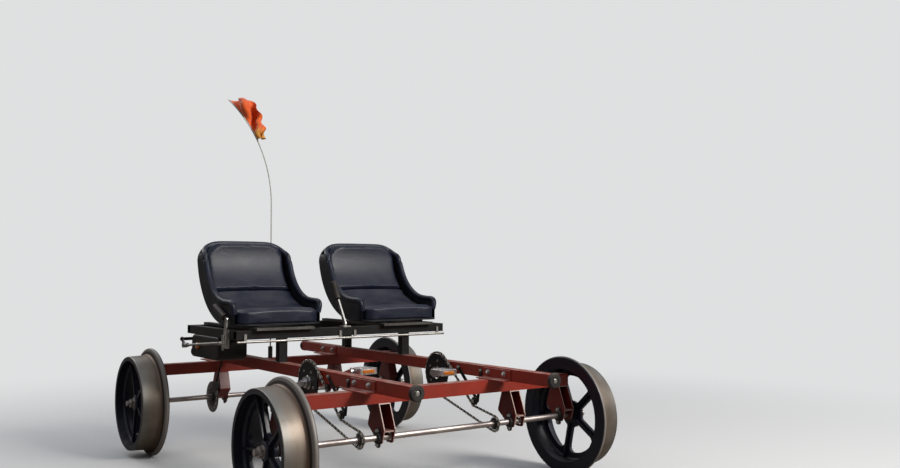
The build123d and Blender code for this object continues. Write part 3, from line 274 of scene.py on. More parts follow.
def enamel(name, colour, shade, bare, wear, dust, roughness=0.38, coat=0.15, gloss=0.35, painted_edge_highlight=None):
    """Sprayed enamel on steel: mottled, chipped on its edges, with dust and a painted highlight on top.
    painted_edge_highlight is a pale colour painted as a highlight on plate edges that face the car's ends
    beyond the cross beams."""
    material, b, shader = start_material(name)
    tone = b.use(MOTTLE, Scale=5.0, Speck_scale=160.0)
    worn = b.use(EDGE_WEAR, Width=0.0022, Amount=wear, Scale=55.0)["Mask"]
    chips = b.maths("MULTIPLY", tone["Speck"], wear * 0.35)
    bared = b.maths("MAXIMUM", worn, chips)
    dust_and_highlight = b.use(DUST_AND_TOP_HIGHLIGHT, Amount=dust, Scale=18.0, Everywhere=0.03)["Mask"]
    paint = b.mix(tone["Tone"], colour, shade)
    # Plate edges facing the car's ends, past the cross beams, turn pale: a painted highlight.
    if painted_edge_highlight:
        facing_end = b.maths("ABSOLUTE", b.split(b.add("ShaderNodeTexCoord").outputs["Normal"])["Y"])
        out_from_middle = b.maths("ABSOLUTE", b.split(b.place())["Y"])
        past_beam = b.ramp(out_from_middle, CROSS_OUT - 0.012, CROSS_OUT - 0.005)
        rubbed = b.maths("MULTIPLY", b.ramp(facing_end, 0.72, 0.9), past_beam)
        paint = b.mix(b.maths("MULTIPLY", rubbed, 0.85), paint, painted_edge_highlight)
    b.feed(shader["Base Color"], b.mix(dust_and_highlight, b.mix(bared, paint, bare), DUST_AND_HIGHLIGHT_COLOUR))
    polish = b.blend(tone["Tone"], roughness, roughness + 0.12)
    b.feed(shader["Roughness"], b.blend(dust_and_highlight, b.blend(bared, polish, 0.5), 0.8))
    b.feed(shader["Metallic"], b.maths("MULTIPLY", bared, 0.6))
    shader["Specular IOR Level"].default_value = gloss
    shader["Coat Weight"].default_value = coat
    shader["Coat Roughness"].default_value = 0.3
    orange_peel = b.cloud(b.place(), 320.0, 2.0, 0.5)
    bump(b, shader, b.maths("SUBTRACT", orange_peel, b.maths("MULTIPLY", bared, 1.2)), 0.22, 0.0006)
    return material


def steel(name, colour, shade, rust, rust_amount, roughness, along, dust):
    """Bare or plated steel with drawn lines along it and a film of rust in patches."""
    material, b, shader = start_material(name)
    tone = b.use(MOTTLE, Scale=9.0, Speck_scale=260.0)
    lines = b.use(SCRATCHES, Along_X=along[0], Along_Y=along[1], Along_Z=along[2], Cut=0.55)["Mask"]
    film = b.ramp(b.cloud(b.place(), 34.0, 6.0, 0.65), 0.62 - rust_amount * 0.3, 0.78)
    film = b.maths("MULTIPLY", film, min(1.0, rust_amount * 2.0))
    dust_and_highlight = b.use(DUST_AND_TOP_HIGHLIGHT, Amount=dust, Scale=20.0, Everywhere=0.2)["Mask"]
    metal = b.mix(tone["Tone"], colour, shade)
    b.feed(shader["Base Color"], b.mix(dust_and_highlight, b.mix(film, metal, rust), DUST_AND_HIGHLIGHT_COLOUR))
    shine = b.blend(lines, roughness, roughness + 0.15)
    b.feed(shader["Roughness"], b.blend(dust_and_highlight, b.blend(film, shine, 0.75), 0.85))
    b.feed(shader["Metallic"], b.blend(film, b.blend(dust_and_highlight, 1.0, 0.2), 0.25))
    bump(b, shader, b.maths("ADD", b.maths("MULTIPLY", lines, 0.3), film), 0.2, 0.0004)
    return material


def wheel_finish():
    """Blue-black paint, its blue partly a painted sky reflection, with the tread rolled bare, a darker throat
    and a bright flange edge.
    """
    # Where each finish begins and where it is full: as distance from the axle, and out from the middle
    tread, throat, flange_rim = (0.2285, 0.2300), (0.2375, 0.2440), (0.2490, 0.2560)
    past_flange, inner_band, outer_band = (0.690, 0.694), (0.722, 0.752), (0.765, 0.800)
    material, b, shader = start_material("wheel iron")
    tone = b.use(MOTTLE, Scale=7.0, Speck_scale=140.0)
    radius, out = b.use(WHEEL_PLACE).values()
    outside = b.ramp(out, *past_flange)
    on_tread = b.maths("MULTIPLY", b.ramp(radius, *tread), outside)
    in_throat = b.maths("MULTIPLY", b.ramp(radius, *throat), outside)
    slow = b.cloud(b.place(), 7.0, 4.0, 0.5)
    drift = b.maths("ADD", out, b.maths("MULTIPLY", slow, 0.012))
    edge_tone = b.mix(b.ramp(drift, *outer_band), (0.255, 0.212, 0.172), (0.250, 0.238, 0.215))
    rolled = b.mix(b.ramp(drift, *inner_band), (0.165, 0.112, 0.080), edge_tone)
    stain = b.maths("MULTIPLY", b.ramp(slow, 0.35, 0.72), 0.60)
    rolled = b.mix(stain, rolled, (0.100, 0.076, 0.058))
    bare = b.mix(in_throat, rolled, (0.030, 0.019, 0.014))
    bare = b.mix(b.ramp(radius, *flange_rim), bare, (0.215, 0.192, 0.170))
    worn = b.use(EDGE_WEAR, Width=0.003, Amount=0.6, Scale=40.0)["Mask"]
    # The blue in this paint is partly a painted sky reflection.
    paint = b.mix(tone["Tone"], (0.0050, 0.0062, 0.0135), (0.0090, 0.0105, 0.0210))
    dust_and_highlight = b.use(DUST_AND_TOP_HIGHLIGHT, Amount=0.30, Scale=12.0, Everywhere=0.05)["Mask"]
    painted = b.mix(dust_and_highlight, b.mix(worn, paint, (0.10, 0.085, 0.075)), (0.17, 0.150, 0.13))
    b.feed(shader["Base Color"], b.mix(on_tread, painted, bare))
    b.feed(shader["Metallic"], b.maths("MULTIPLY", on_tread, b.blend(in_throat, 0.70, 0.1)))
    b.feed(shader["Roughness"], b.blend(on_tread, b.blend(dust_and_highlight, 0.34, 0.8), b.blend(slow, 0.40, 0.52)))
    shader["Specular IOR Level"].default_value = 0.4
    cast = b.cloud(b.place(), 260.0, 3.0, 0.6)
    bump(b, shader, b.blend(on_tread, cast, b.maths("MULTIPLY", slow, 0.3)), 0.3, 0.0007)
    return material


def moulded(name, colour, shade, roughness, texture, depth, dust):
    """Moulded plastic or rubber with a fine pressed texture."""
    material, b, shader = start_material(name)
    tone = b.use(MOTTLE, Scale=8.0, Speck_scale=300.0)
    worn = b.use(EDGE_WEAR, Width=0.002, Amount=0.35, Scale=70.0)["Mask"]
    dust_and_highlight = b.use(DUST_AND_TOP_HIGHLIGHT, Amount=dust, Scale=16.0, Everywhere=0.2)["Mask"]
    body = b.mix(tone["Tone"], colour, shade)
    rubbed = tuple(min(1.0, c * 2.2 + 0.03) for c in colour)
    b.feed(shader["Base Color"], b.mix(dust_and_highlight, b.mix(worn, body, rubbed), DUST_AND_HIGHLIGHT_COLOUR))
    b.feed(shader["Roughness"], b.blend(dust_and_highlight, b.blend(tone["Tone"], roughness, roughness + 0.12), 0.9))
    shader["Specular IOR Level"].default_value = 0.35
    bump(b, shader, b.cloud(b.place(), texture, 2.0, 0.5), 0.4, depth)
    return material


def vinyl(name, colour, shade):
    """Upholstery vinyl with pressed grain, and a little dust with a painted highlight where it faces up."""
    material, b, shader = start_material(name)
    tone = b.use(MOTTLE, Scale=9.0, Speck_scale=300.0)
    grain = b.use(HIDE_GRAIN, Scale=430.0)["Height"]
    dust_and_highlight = b.use(DUST_AND_TOP_HIGHLIGHT, Amount=0.08, Scale=9.0, Everywhere=0.05)["Mask"]
    b.feed(shader["Base Color"], b.mix(dust_and_highlight, b.mix(tone["Tone"], colour, shade), DUST_AND_HIGHLIGHT_COLOUR))
    b.feed(shader["Roughness"], b.blend(dust_and_highlight, b.blend(grain, 0.48, b.blend(tone["Tone"], 0.30, 0.40)), 0.8))
    shader["Specular IOR Level"].default_value = 0.42
    creases = b.cloud(b.stretch(b.place(), (9.0, 26.0, 26.0)), 2.0, 3.0, 0.5)
    height = b.maths("ADD", b.maths("MULTIPLY", grain, 0.35), b.maths("MULTIPLY", creases, 1.5))
    bump(b, shader, height, 0.35, 0.0008)
    return material


def lens(name, colour):
    """A lens or reflector with pressed prisms behind a smooth face."""
    material, b, shader = start_material(name)
    prisms = b.add("ShaderNodeTexVoronoi", feature="F1", distance="CHEBYCHEV")
    b.feed(prisms.inputs["Vector"], b.place())
    b.feed(prisms.inputs["Scale"], 340.0)
    facet = prisms.outputs["Distance"]
    deep = tuple(c * 0.45 for c in colour)
    b.feed(shader["Base Color"], b.mix(b.ramp(facet, 0.1, 0.6), colour, deep))
    b.feed(shader["Roughness"], b.blend(b.ramp(facet, 0.2, 0.5), 0.12, 0.32))
    shader["Coat Weight"].default_value = 0.8
    shader["Coat Roughness"].default_value = 0.05
    bump(b, shader, facet, 0.5, 0.0008)
    return material


def flag_cloth():
    """Bright woven polyester, turning ochre near its lower hem."""
    threads = 1900.0
    material, b, shader = start_material("flag cloth")
    across = b.split(b.add("ShaderNodeUVMap", uv_map="cloth").outputs[0])
    warp = b.maths("SINE", b.maths("MULTIPLY", across["X"], threads))
    weft = b.maths("SINE", b.maths("MULTIPLY", across["Y"], threads))
    weave = b.maths("MULTIPLY", warp, weft)
    patches = b.cloud(b.place(), 14.0, 4.0, 0.6)
    ochre_lower_part = b.ramp(b.maths("ADD", across["Y"], b.maths("MULTIPLY", patches, 0.02)), 0.085, 0.045)
    bright = b.mix(b.ramp(patches, 0.3, 0.7), (0.93, 0.150, 0.010), (0.86, 0.115, 0.010))
    b.feed(shader["Base Color"], b.mix(b.maths("MULTIPLY", ochre_lower_part, 0.8), bright, (0.62, 0.33, 0.04)))
    b.feed(shader["Roughness"], b.blend(b.ramp(weave, -1.0, 1.0), 0.62, 0.74))
    shader["Sheen Weight"].default_value = 0.3
    bump(b, shader, weave, 0.2, 0.0002)
    return material


def chain_finish():
    """Oiled steel: the outer plates bright where they rub, the links between them dark with grime."""
    outer_plate = (0.0029, 0.0033)
    material, b, shader = start_material("chain steel")
    across = b.split(b.place())["X"]
    left = b.maths("ABSOLUTE", b.maths("ADD", across, BEAM_X + CHAIN_LINE))
    right = b.maths("ABSOLUTE", b.maths("SUBTRACT", across, BEAM_X - CHAIN_LINE))
    plate = b.ramp(b.maths("MINIMUM", left, right), *outer_plate)
    grime = b.ramp(b.cloud(b.place(), 60.0, 5.0, 0.65), 0.35, 0.62)
    dull = b.mix(grime, (0.070, 0.058, 0.048), (0.032, 0.027, 0.023))
    bright = b.mix(grime, (0.82, 0.79, 0.73), (0.48, 0.45, 0.40))
    b.feed(shader["Base Color"], b.mix(plate, dull, bright))
    b.feed(shader["Metallic"], b.blend(plate, 0.4, 0.9))
    b.feed(shader["Roughness"], b.blend(plate, 0.6, b.blend(grime, 0.28, 0.42)))
    bump(b, shader, grime, 0.2, 0.0003)
    return material


def disc_finish():
    """Blued disc steel with a bright band where the pads rub."""
    band_inside, band_outside = (0.0480, 0.0500), (0.0795, 0.0780)
    material, b, shader = start_material("disc steel")
    radius = b.use(WHEEL_PLACE)["Radius"]
    rubbed = b.maths("MULTIPLY", b.ramp(radius, *band_inside), b.ramp(radius, *band_outside))
    rings = b.maths("MULTIPLY", b.maths("SINE", b.maths("MULTIPLY", radius, 5200.0)), 0.5)
    streaks = b.ramp(b.maths("ADD", rings, b.cloud(b.place(), 50.0, 4.0, 0.6)), 0.1, 0.9)
    dark = b.mix(b.cloud(b.place(), 30.0, 4.0, 0.6), (0.030, 0.028, 0.030), (0.065, 0.055, 0.050))
    bright = b.mix(streaks, (0.20, 0.19, 0.185), (0.13, 0.12, 0.12))
    b.feed(shader["Base Color"], b.mix(b.maths("MULTIPLY", rubbed, 0.8), dark, bright))
    b.feed(shader["Metallic"], b.blend(rubbed, 0.5, 0.9))
    b.feed(shader["Roughness"], b.blend(rubbed, 0.5, b.blend(streaks, 0.26, 0.38)))
    bump(b, shader, streaks, 0.12, 0.0003)
    return material


def bright_and_black(name, bright_before, black_from):
    """Black enamel that turns to bright zinc towards the car's front, between the two Y values."""
    material, b, shader = start_material(name)
    tone = b.use(MOTTLE, Scale=8.0, Speck_scale=200.0)["Tone"]
    worn = b.use(EDGE_WEAR, Width=0.002, Amount=0.5, Scale=60.0)["Mask"]
    dust_and_highlight = b.use(DUST_AND_TOP_HIGHLIGHT, Amount=0.18, Scale=18.0, Everywhere=0.04)["Mask"]
    plated = b.ramp(b.split(b.place())["Y"], black_from, bright_before)
    black = b.mix(tone, (0.0070, 0.0065, 0.0065), (0.0105, 0.0100, 0.0100))
    black = b.mix(worn, black, (0.14, 0.12, 0.11))
    bright = b.mix(tone, (0.46, 0.44, 0.41), (0.33, 0.31, 0.29))
    b.feed(shader["Base Color"], b.mix(dust_and_highlight, b.mix(plated, black, bright), DUST_AND_HIGHLIGHT_COLOUR))
    metal = b.blend(plated, b.maths("MULTIPLY", worn, 0.6), 0.95)
    b.feed(shader["Metallic"], b.blend(dust_and_highlight, metal, 0.1))
    b.feed(shader["Roughness"], b.blend(dust_and_highlight, b.blend(tone, 0.38, 0.48), 0.8))
    shader["Specular IOR Level"].default_value = 0.28
    bump(b, shader, b.cloud(b.place(), 320.0, 2.0, 0.5), 0.15, 0.0004)
    return material


def whip_finish():
    """Pale fibreglass, in a black socket up to just above the seat frame."""
    socket_top = SEAT_TUBE_TOP + 0.012
    material, b, shader = start_material("whip fibreglass")
    tone = b.use(MOTTLE, Scale=8.0, Speck_scale=300.0)["Tone"]
    in_socket = b.ramp(b.split(b.place())["Z"], socket_top, socket_top - 0.002)
    glass = b.mix(tone, (0.62, 0.62, 0.58), (0.52, 0.51, 0.46))
    socket = b.mix(tone, (0.010, 0.010, 0.010), (0.018, 0.017, 0.017))
    b.feed(shader["Base Color"], b.mix(in_socket, glass, socket))
    b.feed(shader["Roughness"], b.blend(tone, 0.35, 0.47))
    bump(b, shader, b.cloud(b.place(), 500.0, 2.0, 0.5), 0.3, 0.0002)
    return material


# The frame's dust amount also sets how strong the painted highlight on its tops is.
frame_red = enamel(
    "frame enamel", (0.310, 0.0260, 0.0120), (0.225, 0.0200, 0.0105),
    bare=(0.15, 0.10, 0.08), wear=0.6, dust=0.62)
# A darker copy of the frame enamel: painted shade for the hangers under the cross beams. Their pale
# end-facing edges are a painted highlight.
hanger_red_painted_shade = enamel(
    "hanger enamel with painted shade", (0.165, 0.0170, 0.0120), (0.110, 0.0130, 0.0100),
    bare=(0.15, 0.10, 0.08), wear=0.6, dust=0.5, painted_edge_highlight=(0.52, 0.36, 0.31))
wheel_iron = wheel_finish()
axle_steel = steel(
    "axle steel", (0.60, 0.54, 0.51), (0.47, 0.41, 0.39),
    rust=(0.26, 0.17, 0.12), rust_amount=0.10, roughness=0.42, along=(0.5, 2.0, 2.0), dust=0.05)
zinc = steel(
    "zinc plate", (0.62, 0.61, 0.58), (0.46, 0.45, 0.43),
    rust=(0.30, 0.18, 0.10), rust_amount=0.12, roughness=0.36, along=(4.0, 0.6, 4.0), dust=0.06)
rail_steel = steel(
    "rail steel", (0.17, 0.165, 0.155), (0.11, 0.105, 0.10),
    rust=(0.12, 0.08, 0.05), rust_amount=0.15, roughness=0.42, along=(2.0, 0.6, 2.0), dust=0.12)
disc_steel = disc_finish()
bearing_cast = enamel(
    "bearing casting", (0.022, 0.021, 0.022), (0.013, 0.012, 0.013),
    bare=(0.24, 0.22, 0.20), wear=0.7, dust=0.30, roughness=0.45, coat=0.0)
black_enamel = enamel(
    "black enamel", (0.0095, 0.0090, 0.0090), (0.0060, 0.0060, 0.0065),
    bare=(0.14, 0.12, 0.11), wear=0.5, dust=0.16, roughness=0.36, coat=0.05, gloss=0.28)
front_tube = bright_and_black("front tube finish", bright_before=-0.0009, black_from=-0.0004)
brake_linkage = bright_and_black("brake linkage finish", bright_before=0.578, black_from=0.586)
alloy = steel(
    "crank alloy", (0.78, 0.76, 0.75), (0.60, 0.58, 0.57),
    rust=(0.20, 0.17, 0.14), rust_amount=0.08, roughness=0.34, along=(4.0, 1.0, 1.0), dust=0.12)
chain_steel = chain_finish()
sprocket_steel = steel(
    "sprocket steel", (0.10, 0.095, 0.09), (0.05, 0.047, 0.045),
    rust=(0.20, 0.11, 0.06), rust_amount=0.25, roughness=0.42, along=(0.5, 4.0, 4.0), dust=0.2)
bumper_rubber = moulded(
    "bumper rubber", (0.013, 0.012, 0.012), (0.024, 0.022, 0.021),
    roughness=0.55, texture=300.0, depth=0.0006, dust=0.3)
grip_rubber = moulded(
    "grip rubber", (0.022, 0.015, 0.012), (0.012, 0.009, 0.008),
    roughness=0.5, texture=380.0, depth=0.0006, dust=0.25)
shell_plastic = moulded(
    "seat shell plastic", (0.0060, 0.0072, 0.0115), (0.0100, 0.0115, 0.0165),
    roughness=0.38, texture=620.0, depth=0.0003, dust=0.14)
case_plastic = moulded(
    "case plastic", (0.0085, 0.0072, 0.0068), (0.0135, 0.0120, 0.0115),
    roughness=0.42, texture=480.0, depth=0.0005, dust=0.18)
pulley_plastic = moulded(
    "pulley plastic", (0.014, 0.014, 0.014), (0.024, 0.023, 0.021),
    roughness=0.4, texture=300.0, depth=0.0003, dust=0.3)
whip_glass = whip_finish()
navy_vinyl = vinyl("navy vinyl", (0.0060, 0.0090, 0.0230), (0.0095, 0.0135, 0.0300))
amber = lens("amber lens", (0.82, 0.23, 0.02))
flag_orange = flag_cloth()

# Each finish with the nodes that have it. A name that ends in _ stands for all that start with it.
FINISHES = [
    (frame_red, ["side_beam_", "cross_beam_"]),
    (hanger_red_painted_shade, ["hanger_"]),
    (wheel_iron, ["wheel_"]),
    (axle_steel, ["front_axle", "rear_axle", "crank_spindle_"]),
    (bearing_cast, ["bearings_", "brake_caliper"]),
    (bumper_rubber, ["bumpers_"]),
    (chain_steel, ["chain_left", "chain_right"]),
    (sprocket_steel, ["sprocket_"]),
    (pulley_plastic, ["chain_guide_"]),
    (black_enamel, ["guide_strap_", "chainring_", "seat_end_tubes", "seat_posts"]),
    (front_tube, ["seat_cross_tubes"]),
    (brake_linkage, ["brake_rod"]),
    (alloy, ["crank_arms_", "pedal_"]),
    (zinc, ["brake_lever"]),
    (rail_steel, ["seat_rails_"]),
    (shell_plastic, ["seat_shell_"]),
    (navy_vinyl, ["seat_cushion_", "seat_back_"]),
    (case_plastic, ["storage_case"]),
    (amber, ["marker_lamp"]),
    (grip_rubber, ["lever_grip"]),
    (disc_steel, ["brake_disc"]),
    (whip_glass, ["flag_whip"]),
    (flag_orange, ["flag"]),
]


def dress_frame():
    for name, node in cad.items():
        for material, starts in FINISHES:
            if any(name == start or (start.endswith("_") and name.startswith(start)) for start in starts):
                node.data.materials.clear()
                node.data.materials.append(material)


# Pieces

def into_scene(thing):
    bpy.context.scene.collection.objects.link(thing)
    return thing


def finish_piece(bm, name, material, body, angle=40.0):
    """Turns a bmesh into a piece that rides on a body."""
    bmesh.ops.remove_doubles(bm, verts=bm.verts, dist=1e-6)
    bmesh.ops.recalc_face_normals(bm, faces=bm.faces)
    for face in bm.faces:
        face.smooth = True
    mesh = bpy.data.meshes.new(name)
    bm.to_mesh(mesh)
    bm.free()
    mesh.set_sharp_from_angle(angle=math.radians(angle))
    mesh.materials.append(material)
    piece = into_scene(bpy.data.objects.new(name, mesh))
    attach(piece, body)
    return piece


def facing(axis):
    """A turn that takes +Z to the given axis."""
    return Vector(axis).to_track_quat("Z", "Y").to_matrix().to_4x4()


def add_round(bm, spot, axis, radius, height, segments, top_radius=None, edge=0.0):
    """A disc or plug that stands on spot along axis, with its top edge rounded by edge."""
    top = radius if top_radius is None else top_radius
    raised = Matrix.Translation((0, 0, height / 2))
    made = bmesh.ops.create_cone(bm, cap_ends=True, segments=segments, radius1=radius, radius2=top,
                                 depth=height, matrix=Matrix.Translation(spot) @ facing(axis) @ raised)
    if edge:
        away = Vector(axis).normalized()
        high = [v for v in made["verts"] if (v.co - Vector(spot)).dot(away) > height * 0.5]
        rim = {e for v in high for e in v.link_edges if e.other_vert(v) in high}
        bmesh.ops.bevel(bm, geom=list(rim), offset=edge, affect="EDGES", segments=2, profile=0.5, material=-1)


# Bolts: width across the flats, head's height, washer's radius, and the thread past the nut
BOLTS = {
    "angle": (0.017, 0.008, 0.0115, 0.004),
    "bumper": (0.018, 0.0058, 0.013, 0.0),
    "strap": (0.010, 0.005, 0.007, 0.0),
    "pulley": (0.010, 0.005, 0.008, 0.0),
    "bearing": (0.013, 0.006, 0.0095, 0.003),
    "spindle": (0.014, 0.005, 0.0105, 0.0),
}
WASHER_HEIGHT = 0.0016


def add_bolt(bm, spot, axis, kind):
    """A hexagon head or nut on its washer, with its thread showing if the kind has one."""
    across, height, washer, thread = BOLTS[kind]
    away = Vector(axis).normalized()
    add_round(bm, spot, axis, washer, WASHER_HEIGHT, segments=28, edge=0.0004)
    at = Vector(spot) + away * WASHER_HEIGHT
    add_round(bm, at, axis, across / math.sqrt(3), height, segments=6, edge=height * 0.12)
    if thread:
        add_round(bm, at + away * height, axis, across * 0.30, thread, segments=16,
                  top_radius=across * 0.26, edge=0.0005)


# Where the frame's bolts sit
ANGLE_WALL = 0.005
ANGLE_BOLTS_Y = (AXLE_Y - 0.058, AXLE_Y + 0.052)
ANGLE_BOLTS_Z = CROSS_TOP + 0.028
BUMPER_SEAT = 0.008
STRAP_THICKNESS = 0.004
STRAP_BOLTS_Y = (0.113 - AXLE_Y, 0.282 - AXLE_Y)
STRAP_BOLTS_Z = CROSS_TOP + 0.030
STRAP_FACE = -BEAM_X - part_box("guide_strap_left")[0].x
PULLEY_Y, PULLEY_Z = middle("chain_guide_left").yz
BEARING_FLANGE = 0.006
BEARING_BOLT_UP = 0.027


def frame_bolts():
    """Bolts of the beam angles, bumpers, straps, guide pulleys and bearings."""
    bm = bmesh.new()
    for x in (-BEAM_X, BEAM_X):
        face = x - BEAM_HALF
        for end in (-1, 1):
            for y in ANGLE_BOLTS_Y:
                add_bolt(bm, (face - ANGLE_WALL, end * y, ANGLE_BOLTS_Z), (-1, 0, 0), "angle")
            add_bolt(bm, (x, end * (BEAM_END + BUMPER_SEAT), BEAM_TOP - BEAM_HALF), (0, end, 0), "bumper")
        for y in STRAP_BOLTS_Y:
            add_bolt(bm, (face - STRAP_THICKNESS, y, STRAP_BOLTS_Z), (-1, 0, 0), "strap")
        add_bolt(bm, (x - STRAP_FACE, PULLEY_Y, PULLEY_Z), (-1, 0, 0), "pulley")
    for end, x, side in HANGERS:
        for up in (-BEARING_BOLT_UP, BEARING_BOLT_UP):
            spot = (x + side * (HANGER_HALF + BEARING_FLANGE), END_SIGN[end] * AXLE_Y, AXLE_Z + up)
            add_bolt(bm, spot, (side, 0, 0), "bearing")
    return finish_piece(bm, "frame_bolts", zinc, "frame")


def add_weld(bm, start, end, outward, size):
    """A stack-of-coins weld bead from start to end, leaning to outward. Size is half its width."""
    coin = 0.0016
    a, b = Vector(start), Vector(end)
    run = b - a
    out = Vector(outward).normalized()
    side = run.normalized().cross(out)
    steps = max(6, int(run.length / coin))
    for v in bmesh.ops.create_grid(bm, x_segments=steps, y_segments=6, size=0.5)["verts"]:
        t = v.co.x + 0.5
        s = v.co.y * 2.0
        ripple = 0.82 + 0.18 * abs(math.sin(t * steps * 0.5 * math.pi))
        wander = noise.noise(Vector((t * run.length * 90.0, a.x * 40.0, a.z * 40.0))) * 0.15
        fade = min(1.0, min(t, 1.0 - t) * 14.0 + 0.25)
        wide = size * (1.0 + wander) * fade
        high = math.sqrt(max(0.0, 1.0 - s * s)) * size * 0.75 * ripple * fade
        v.co = a + run * t + side * (s * wide) + out * (high - size * 0.12)


def frame_welds():
    """Beads round the hanger tops, under the cross beams."""
    size = 0.004
    bm = bmesh.new()
    for end, x, _ in HANGERS:
        sign = END_SIGN[end]
        y_out, y_in = sign * CROSS_OUT, sign * CROSS_IN
        for face in (-HANGER_HALF, HANGER_HALF):
            outward = (math.copysign(1.0, face), 0, -1)
            add_weld(bm, (x + face, y_out, CROSS_LOW), (x + face, y_in, CROSS_LOW), outward, size)
        half = HANGER_HALF - 0.001
        add_weld(bm, (x - half, y_in, CROSS_LOW), (x + half, y_in, CROSS_LOW), (0, -sign, -1), size)
    return finish_piece(bm, "frame_welds", frame_red, "frame", angle=60.0)


def seat_frame_welds():
    """Beads round both ends of the seat posts."""
    size, post_half, bead_half = 0.0035, 0.020, 0.019
    front, rear = (corner.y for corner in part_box("seat_posts"))
    bm = bmesh.new()
    for x in (-BEAM_X, BEAM_X):
        for y in (front + post_half, rear - post_half):
            for z, lean in ((BEAM_TOP, 1), (SEAT_TUBE_LOW, -1)):
                for hand in (-1, 1):
                    edge = x + hand * post_half
                    add_weld(bm, (edge, y - bead_half, z), (edge, y + bead_half, z), (hand, 0, lean), size)
                    edge = y + hand * post_half
                    add_weld(bm, (x - bead_half, edge, z), (x + bead_half, edge, z), (0, hand, lean), size)
    return finish_piece(bm, "seat_frame_welds", black_enamel, "frame", angle=60.0)


PEDAL_LENGTH = 0.096
REFLECTOR = (0.056, 0.0034, 0.015)
STUDS, STUD_PITCH = 9, 0.009


def pedal_details():
    """Amber reflectors in both long walls of each pedal, and studs along its treads."""
    for name, out in (("left_a", 1), ("left_b", -1), ("right_a", 1), ("right_b", -1)):
        low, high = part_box(f"pedal_{name}")
        tip = high.x if out > 0 else low.x
        x = tip - out * PEDAL_LENGTH / 2
        y, z = middle(f"pedal_{name}").yz
        half_width, half_height = (high - low).yz / 2
        lenses = bmesh.new()
        studs = bmesh.new()
        for hand in (-1, 1):
            spot = Matrix.Translation((x, y + hand * (half_width + 0.0012), z))
            made = bmesh.ops.create_cube(lenses, size=1.0, matrix=spot @ Matrix.Diagonal((*REFLECTOR, 1.0)))
            edges = {e for v in made["verts"] for e in v.link_edges}
            bmesh.ops.bevel(lenses, geom=list(edges), offset=0.0012, affect="EDGES", segments=2,
                            profile=0.5, material=-1)
            for k in range(STUDS):
                along = x + STUD_PITCH * (k - (STUDS - 1) / 2)
                for top in (-1, 1):
                    spot = (along, y + hand * (half_width - 0.0015), z + top * half_height)
                    add_round(studs, spot, (0, 0, top), 0.0026, 0.0022, segments=6, top_radius=0.0009)
        finish_piece(lenses, f"pedal_reflectors_{name}", amber, f"pedal_{name}", angle=30.0)
        finish_piece(studs, f"pedal_studs_{name}", alloy, f"pedal_{name}", angle=30.0)


def crank_bolts():
    """Ring bolts through the black guard, and a cap on each spindle end."""
    bolt_circle, count = 0.056, 5
    for side, turn in CRANK_TURN.items():
        bm = bmesh.new()
        guard_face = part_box(f"chainring_{side}")[0].x
        for i in range(count):
            a = math.radians(turn + (i + 0.5) * 360.0 / count)
            spot = (guard_face, CRANK_Y + bolt_circle * math.cos(a), CRANK_Z + bolt_circle * math.sin(a))
            add_round(bm, spot, (-1, 0, 0), 0.0055, 0.0022, segments=20, edge=0.0006)
        for hand, end in zip((-1, 1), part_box(f"crank_spindle_{side}")):
            add_bolt(bm, (end.x, CRANK_Y, CRANK_Z), (hand, 0, 0), "spindle")
        finish_piece(bm, f"crank_bolts_{side}", zinc, f"crank_{side}")


# Seats

# The seat's outer line runs flat to this bend, round it, and then straight up its back
BEND_Y, BEND_Z, BEND_RADIUS = 0.143, 1.045, 0.370
PAD_HALF = 0.2140
PAD_CLEAR = 0.0088             # from the seat's outer line to the pad, past the shell's wall
PAD_FACE = 0.050               # what lies further in than this is the pad's face
CROWN = 0.007
SWELL_LIMIT = 0.007


def scoop_depth(co):
    """How far a point lies inside the seat's outer line, and the direction inwards."""
    reach = Vector((0.0, min(0.0, BEND_Y - co.y), max(0.0, BEND_Z - co.z)))
    inward = reach.normalized() if reach.length > 1e-6 else Vector((0, 0, 1))
    return BEND_RADIUS - reach.length, inward


def blow_up(pad):
    """Where each point of the pad lies after 20 frames as cloth under pressure, with no weight."""
    frames = 20
    cloth = pad.modifiers.new("cloth", "CLOTH")
    cloth.settings.use_pressure = True
    cloth.settings.uniform_pressure_force = 4.0
    cloth.settings.quality = 5
    cloth.settings.effector_weights.gravity = 0.0
    scene = bpy.context.scene
    scene.frame_start, scene.frame_end = 1, frames
    for number in range(1, frames + 1):
        scene.frame_set(number)
    depsgraph = bpy.context.evaluated_depsgraph_get()
    blown = bpy.data.meshes.new_from_object(pad.evaluated_get(depsgraph))
    pad.modifiers.clear()
    scene.frame_set(1)
    return [v.co.copy() for v in blown.vertices]


def plump(source):
    """A soft copy of a CAD pad: remeshed evenly, blown up as cloth, and no fuller than its shell lets it."""
    bm = bmesh.new()
    bm.from_mesh(source.data)
    bmesh.ops.remove_doubles(bm, verts=bm.verts, dist=1e-5)
    centre = sum((v.co for v in bm.verts), Vector()) / len(bm.verts)
    for v in bm.verts:
        v.co = centre + (v.co - centre) * 0.985
    mesh = bpy.data.meshes.new("pad")
    bm.to_mesh(mesh)
    bm.free()
    pad = into_scene(bpy.data.objects.new("pad", mesh))
    pad.modifiers.new("even", "REMESH").voxel_size = 0.0055
    depsgraph = bpy.context.evaluated_depsgraph_get()
    even = bpy.data.meshes.new_from_object(pad.evaluated_get(depsgraph))
    pad.modifiers.clear()
    pad.data = even
    for v, after in zip(even.vertices, blow_up(pad)):
        step = after - v.co
        if step.length > SWELL_LIMIT:
            step = step.normalized() * SWELL_LIMIT
        v.co += step
    return pad


